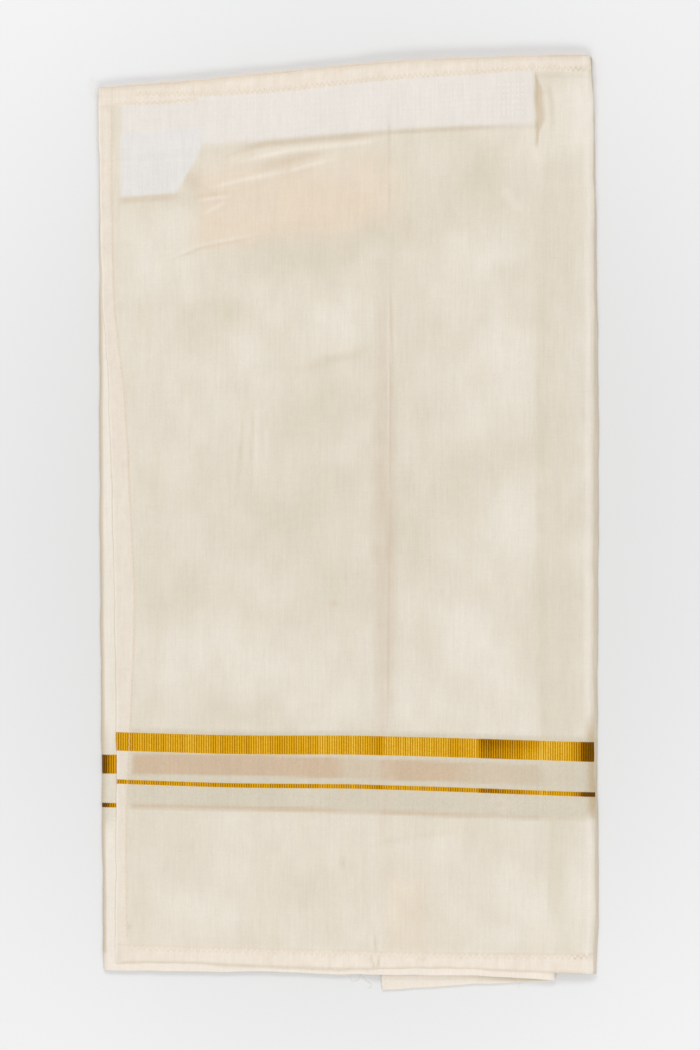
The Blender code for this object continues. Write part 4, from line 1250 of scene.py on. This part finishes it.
# Frayed ends of thread: two at the waist's left corner, three at the foot.
FRAYED_WIDTH = 0.14
FRAYED = [
    [(-152.6, 266.4, 5.0), (-154.6, 268.0, 4.6), (-156.4, 270.6, 3.4), (-157.6, 273.6, 1.6)],
    [(-152.8, 265.0, 4.9), (-155.4, 266.2, 4.2), (-157.6, 266.0, 2.2), (-159.4, 267.4, 0.6)],
    [(2.0, -274.6, 1.6), (0.4, -278.0, 0.6), (3.0, -280.6, 0.2), (6.4, -279.0, 0.2), (7.6, -276.4, 0.6)],
    [(7.0, -274.8, 1.6), (9.6, -279.4, 0.4), (13.6, -281.0, 0.2), (14.6, -283.4, 0.2), (11.8, -284.4, 0.2)],
    [(104.6, -278.2, 0.9), (105.6, -281.4, 0.3), (103.4, -284.2, 0.2), (104.6, -285.2, 0.2)],
]


AIR_STRENGTH = 0.55
SOFTBOX_SIZE = (1.5, 0.5)
# Place in metres, power.
SOFTBOXES = [
    ("waist_side_softbox", (-0.20, 1.15, 1.05), 9.9),
    ("foot_side_softbox", (0.12, -1.15, 1.05), 9.5),
]
CAMERA_HEIGHT = 2000.0
CAMERA_ASIDE = 0.9     # how far it stands right of the middle, and towards the foot
FACE_HEIGHT = 6.0      # the level that it is set for
SEEN_HEIGHT = 640.5    # how much of that level it sees from foot to waist
SENSOR = 36.0
TABLE_HALF = 2.5       # half of the table's side, in metres


def studio():
    """Soft light from two long softboxes, above the waist side and above the foot side, and a camera straight
    above."""
    world = bpy.data.worlds.new("studio_air")
    bpy.context.scene.world = world
    world.use_nodes = True
    air = world.node_tree.nodes["Background"]
    air.inputs["Color"].default_value = rgba("ffffff")
    air.inputs["Strength"].default_value = AIR_STRENGTH
    for name, place, power in SOFTBOXES:
        light = bpy.data.lights.new(name, "AREA")
        light.shape = "RECTANGLE"
        light.size, light.size_y = SOFTBOX_SIZE
        light.energy = power
        lamp = put_in_scene(name, light)
        lamp.location = place
        lamp.rotation_euler = (-lamp.location).to_track_quat("-Z", "Y").to_euler()
    camera = bpy.data.cameras.new("overhead_camera")
    camera.sensor_fit = "VERTICAL"
    camera.sensor_height = SENSOR
    camera.lens = SENSOR * (CAMERA_HEIGHT - FACE_HEIGHT) / SEEN_HEIGHT
    seat = put_in_scene("overhead_camera", camera)
    seat.location = (CAMERA_ASIDE * MM, -CAMERA_ASIDE * MM, CAMERA_HEIGHT * MM)
    bpy.context.scene.camera = seat
    bpy.context.scene.view_settings.view_transform = "Standard"


def table_top(material):
    mesh = bpy.data.meshes.new("table_top")
    half = TABLE_HALF
    corners = [(-half, -half, 0), (half, -half, 0), (half, half, 0), (-half, half, 0)]
    mesh.from_pydata(corners, [], [(0, 1, 2, 3)])
    mesh.materials.append(material)
    put_in_scene("table_top", mesh)


def dress_node(name, material):
    node = bpy.data.objects[name]
    node.data.materials.clear()
    node.data.materials.append(material)


def main():
    silk = art_silk_with_zari()
    thread = spun_thread()
    front = sheet_object("front_cloth", front_sheet(), silk)
    second = sheet_object("second_cloth", second_sheet(), silk)
    inner = sheet_object("inner_cloth", inner_sheet(), silk)
    back = sheet_object("back_cloth", back_sheet(), silk)
    sewing = sew_front(thread)
    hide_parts("front_layer", "front_waist_hem", "front_bottom_hem", "front_side_hem")
    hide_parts("second_layer_side", "second_layer_hem", "hidden_layers")
    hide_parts("inner_layer")
    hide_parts("back_layer")
    frays = []
    for k, points in enumerate(FRAYED):
        frays.append(loose_thread(f"frayed_thread_{k + 1}", points, FRAYED_WIDTH, thread))
    for piece in (front, second, inner, back, sewing, *frays):
        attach(piece, "root")
    dress_node("hook_tape", woven_hook_tape())
    dress_node("care_label", satin_label_ribbon())
    table_top(pale_table())
    studio()


main()
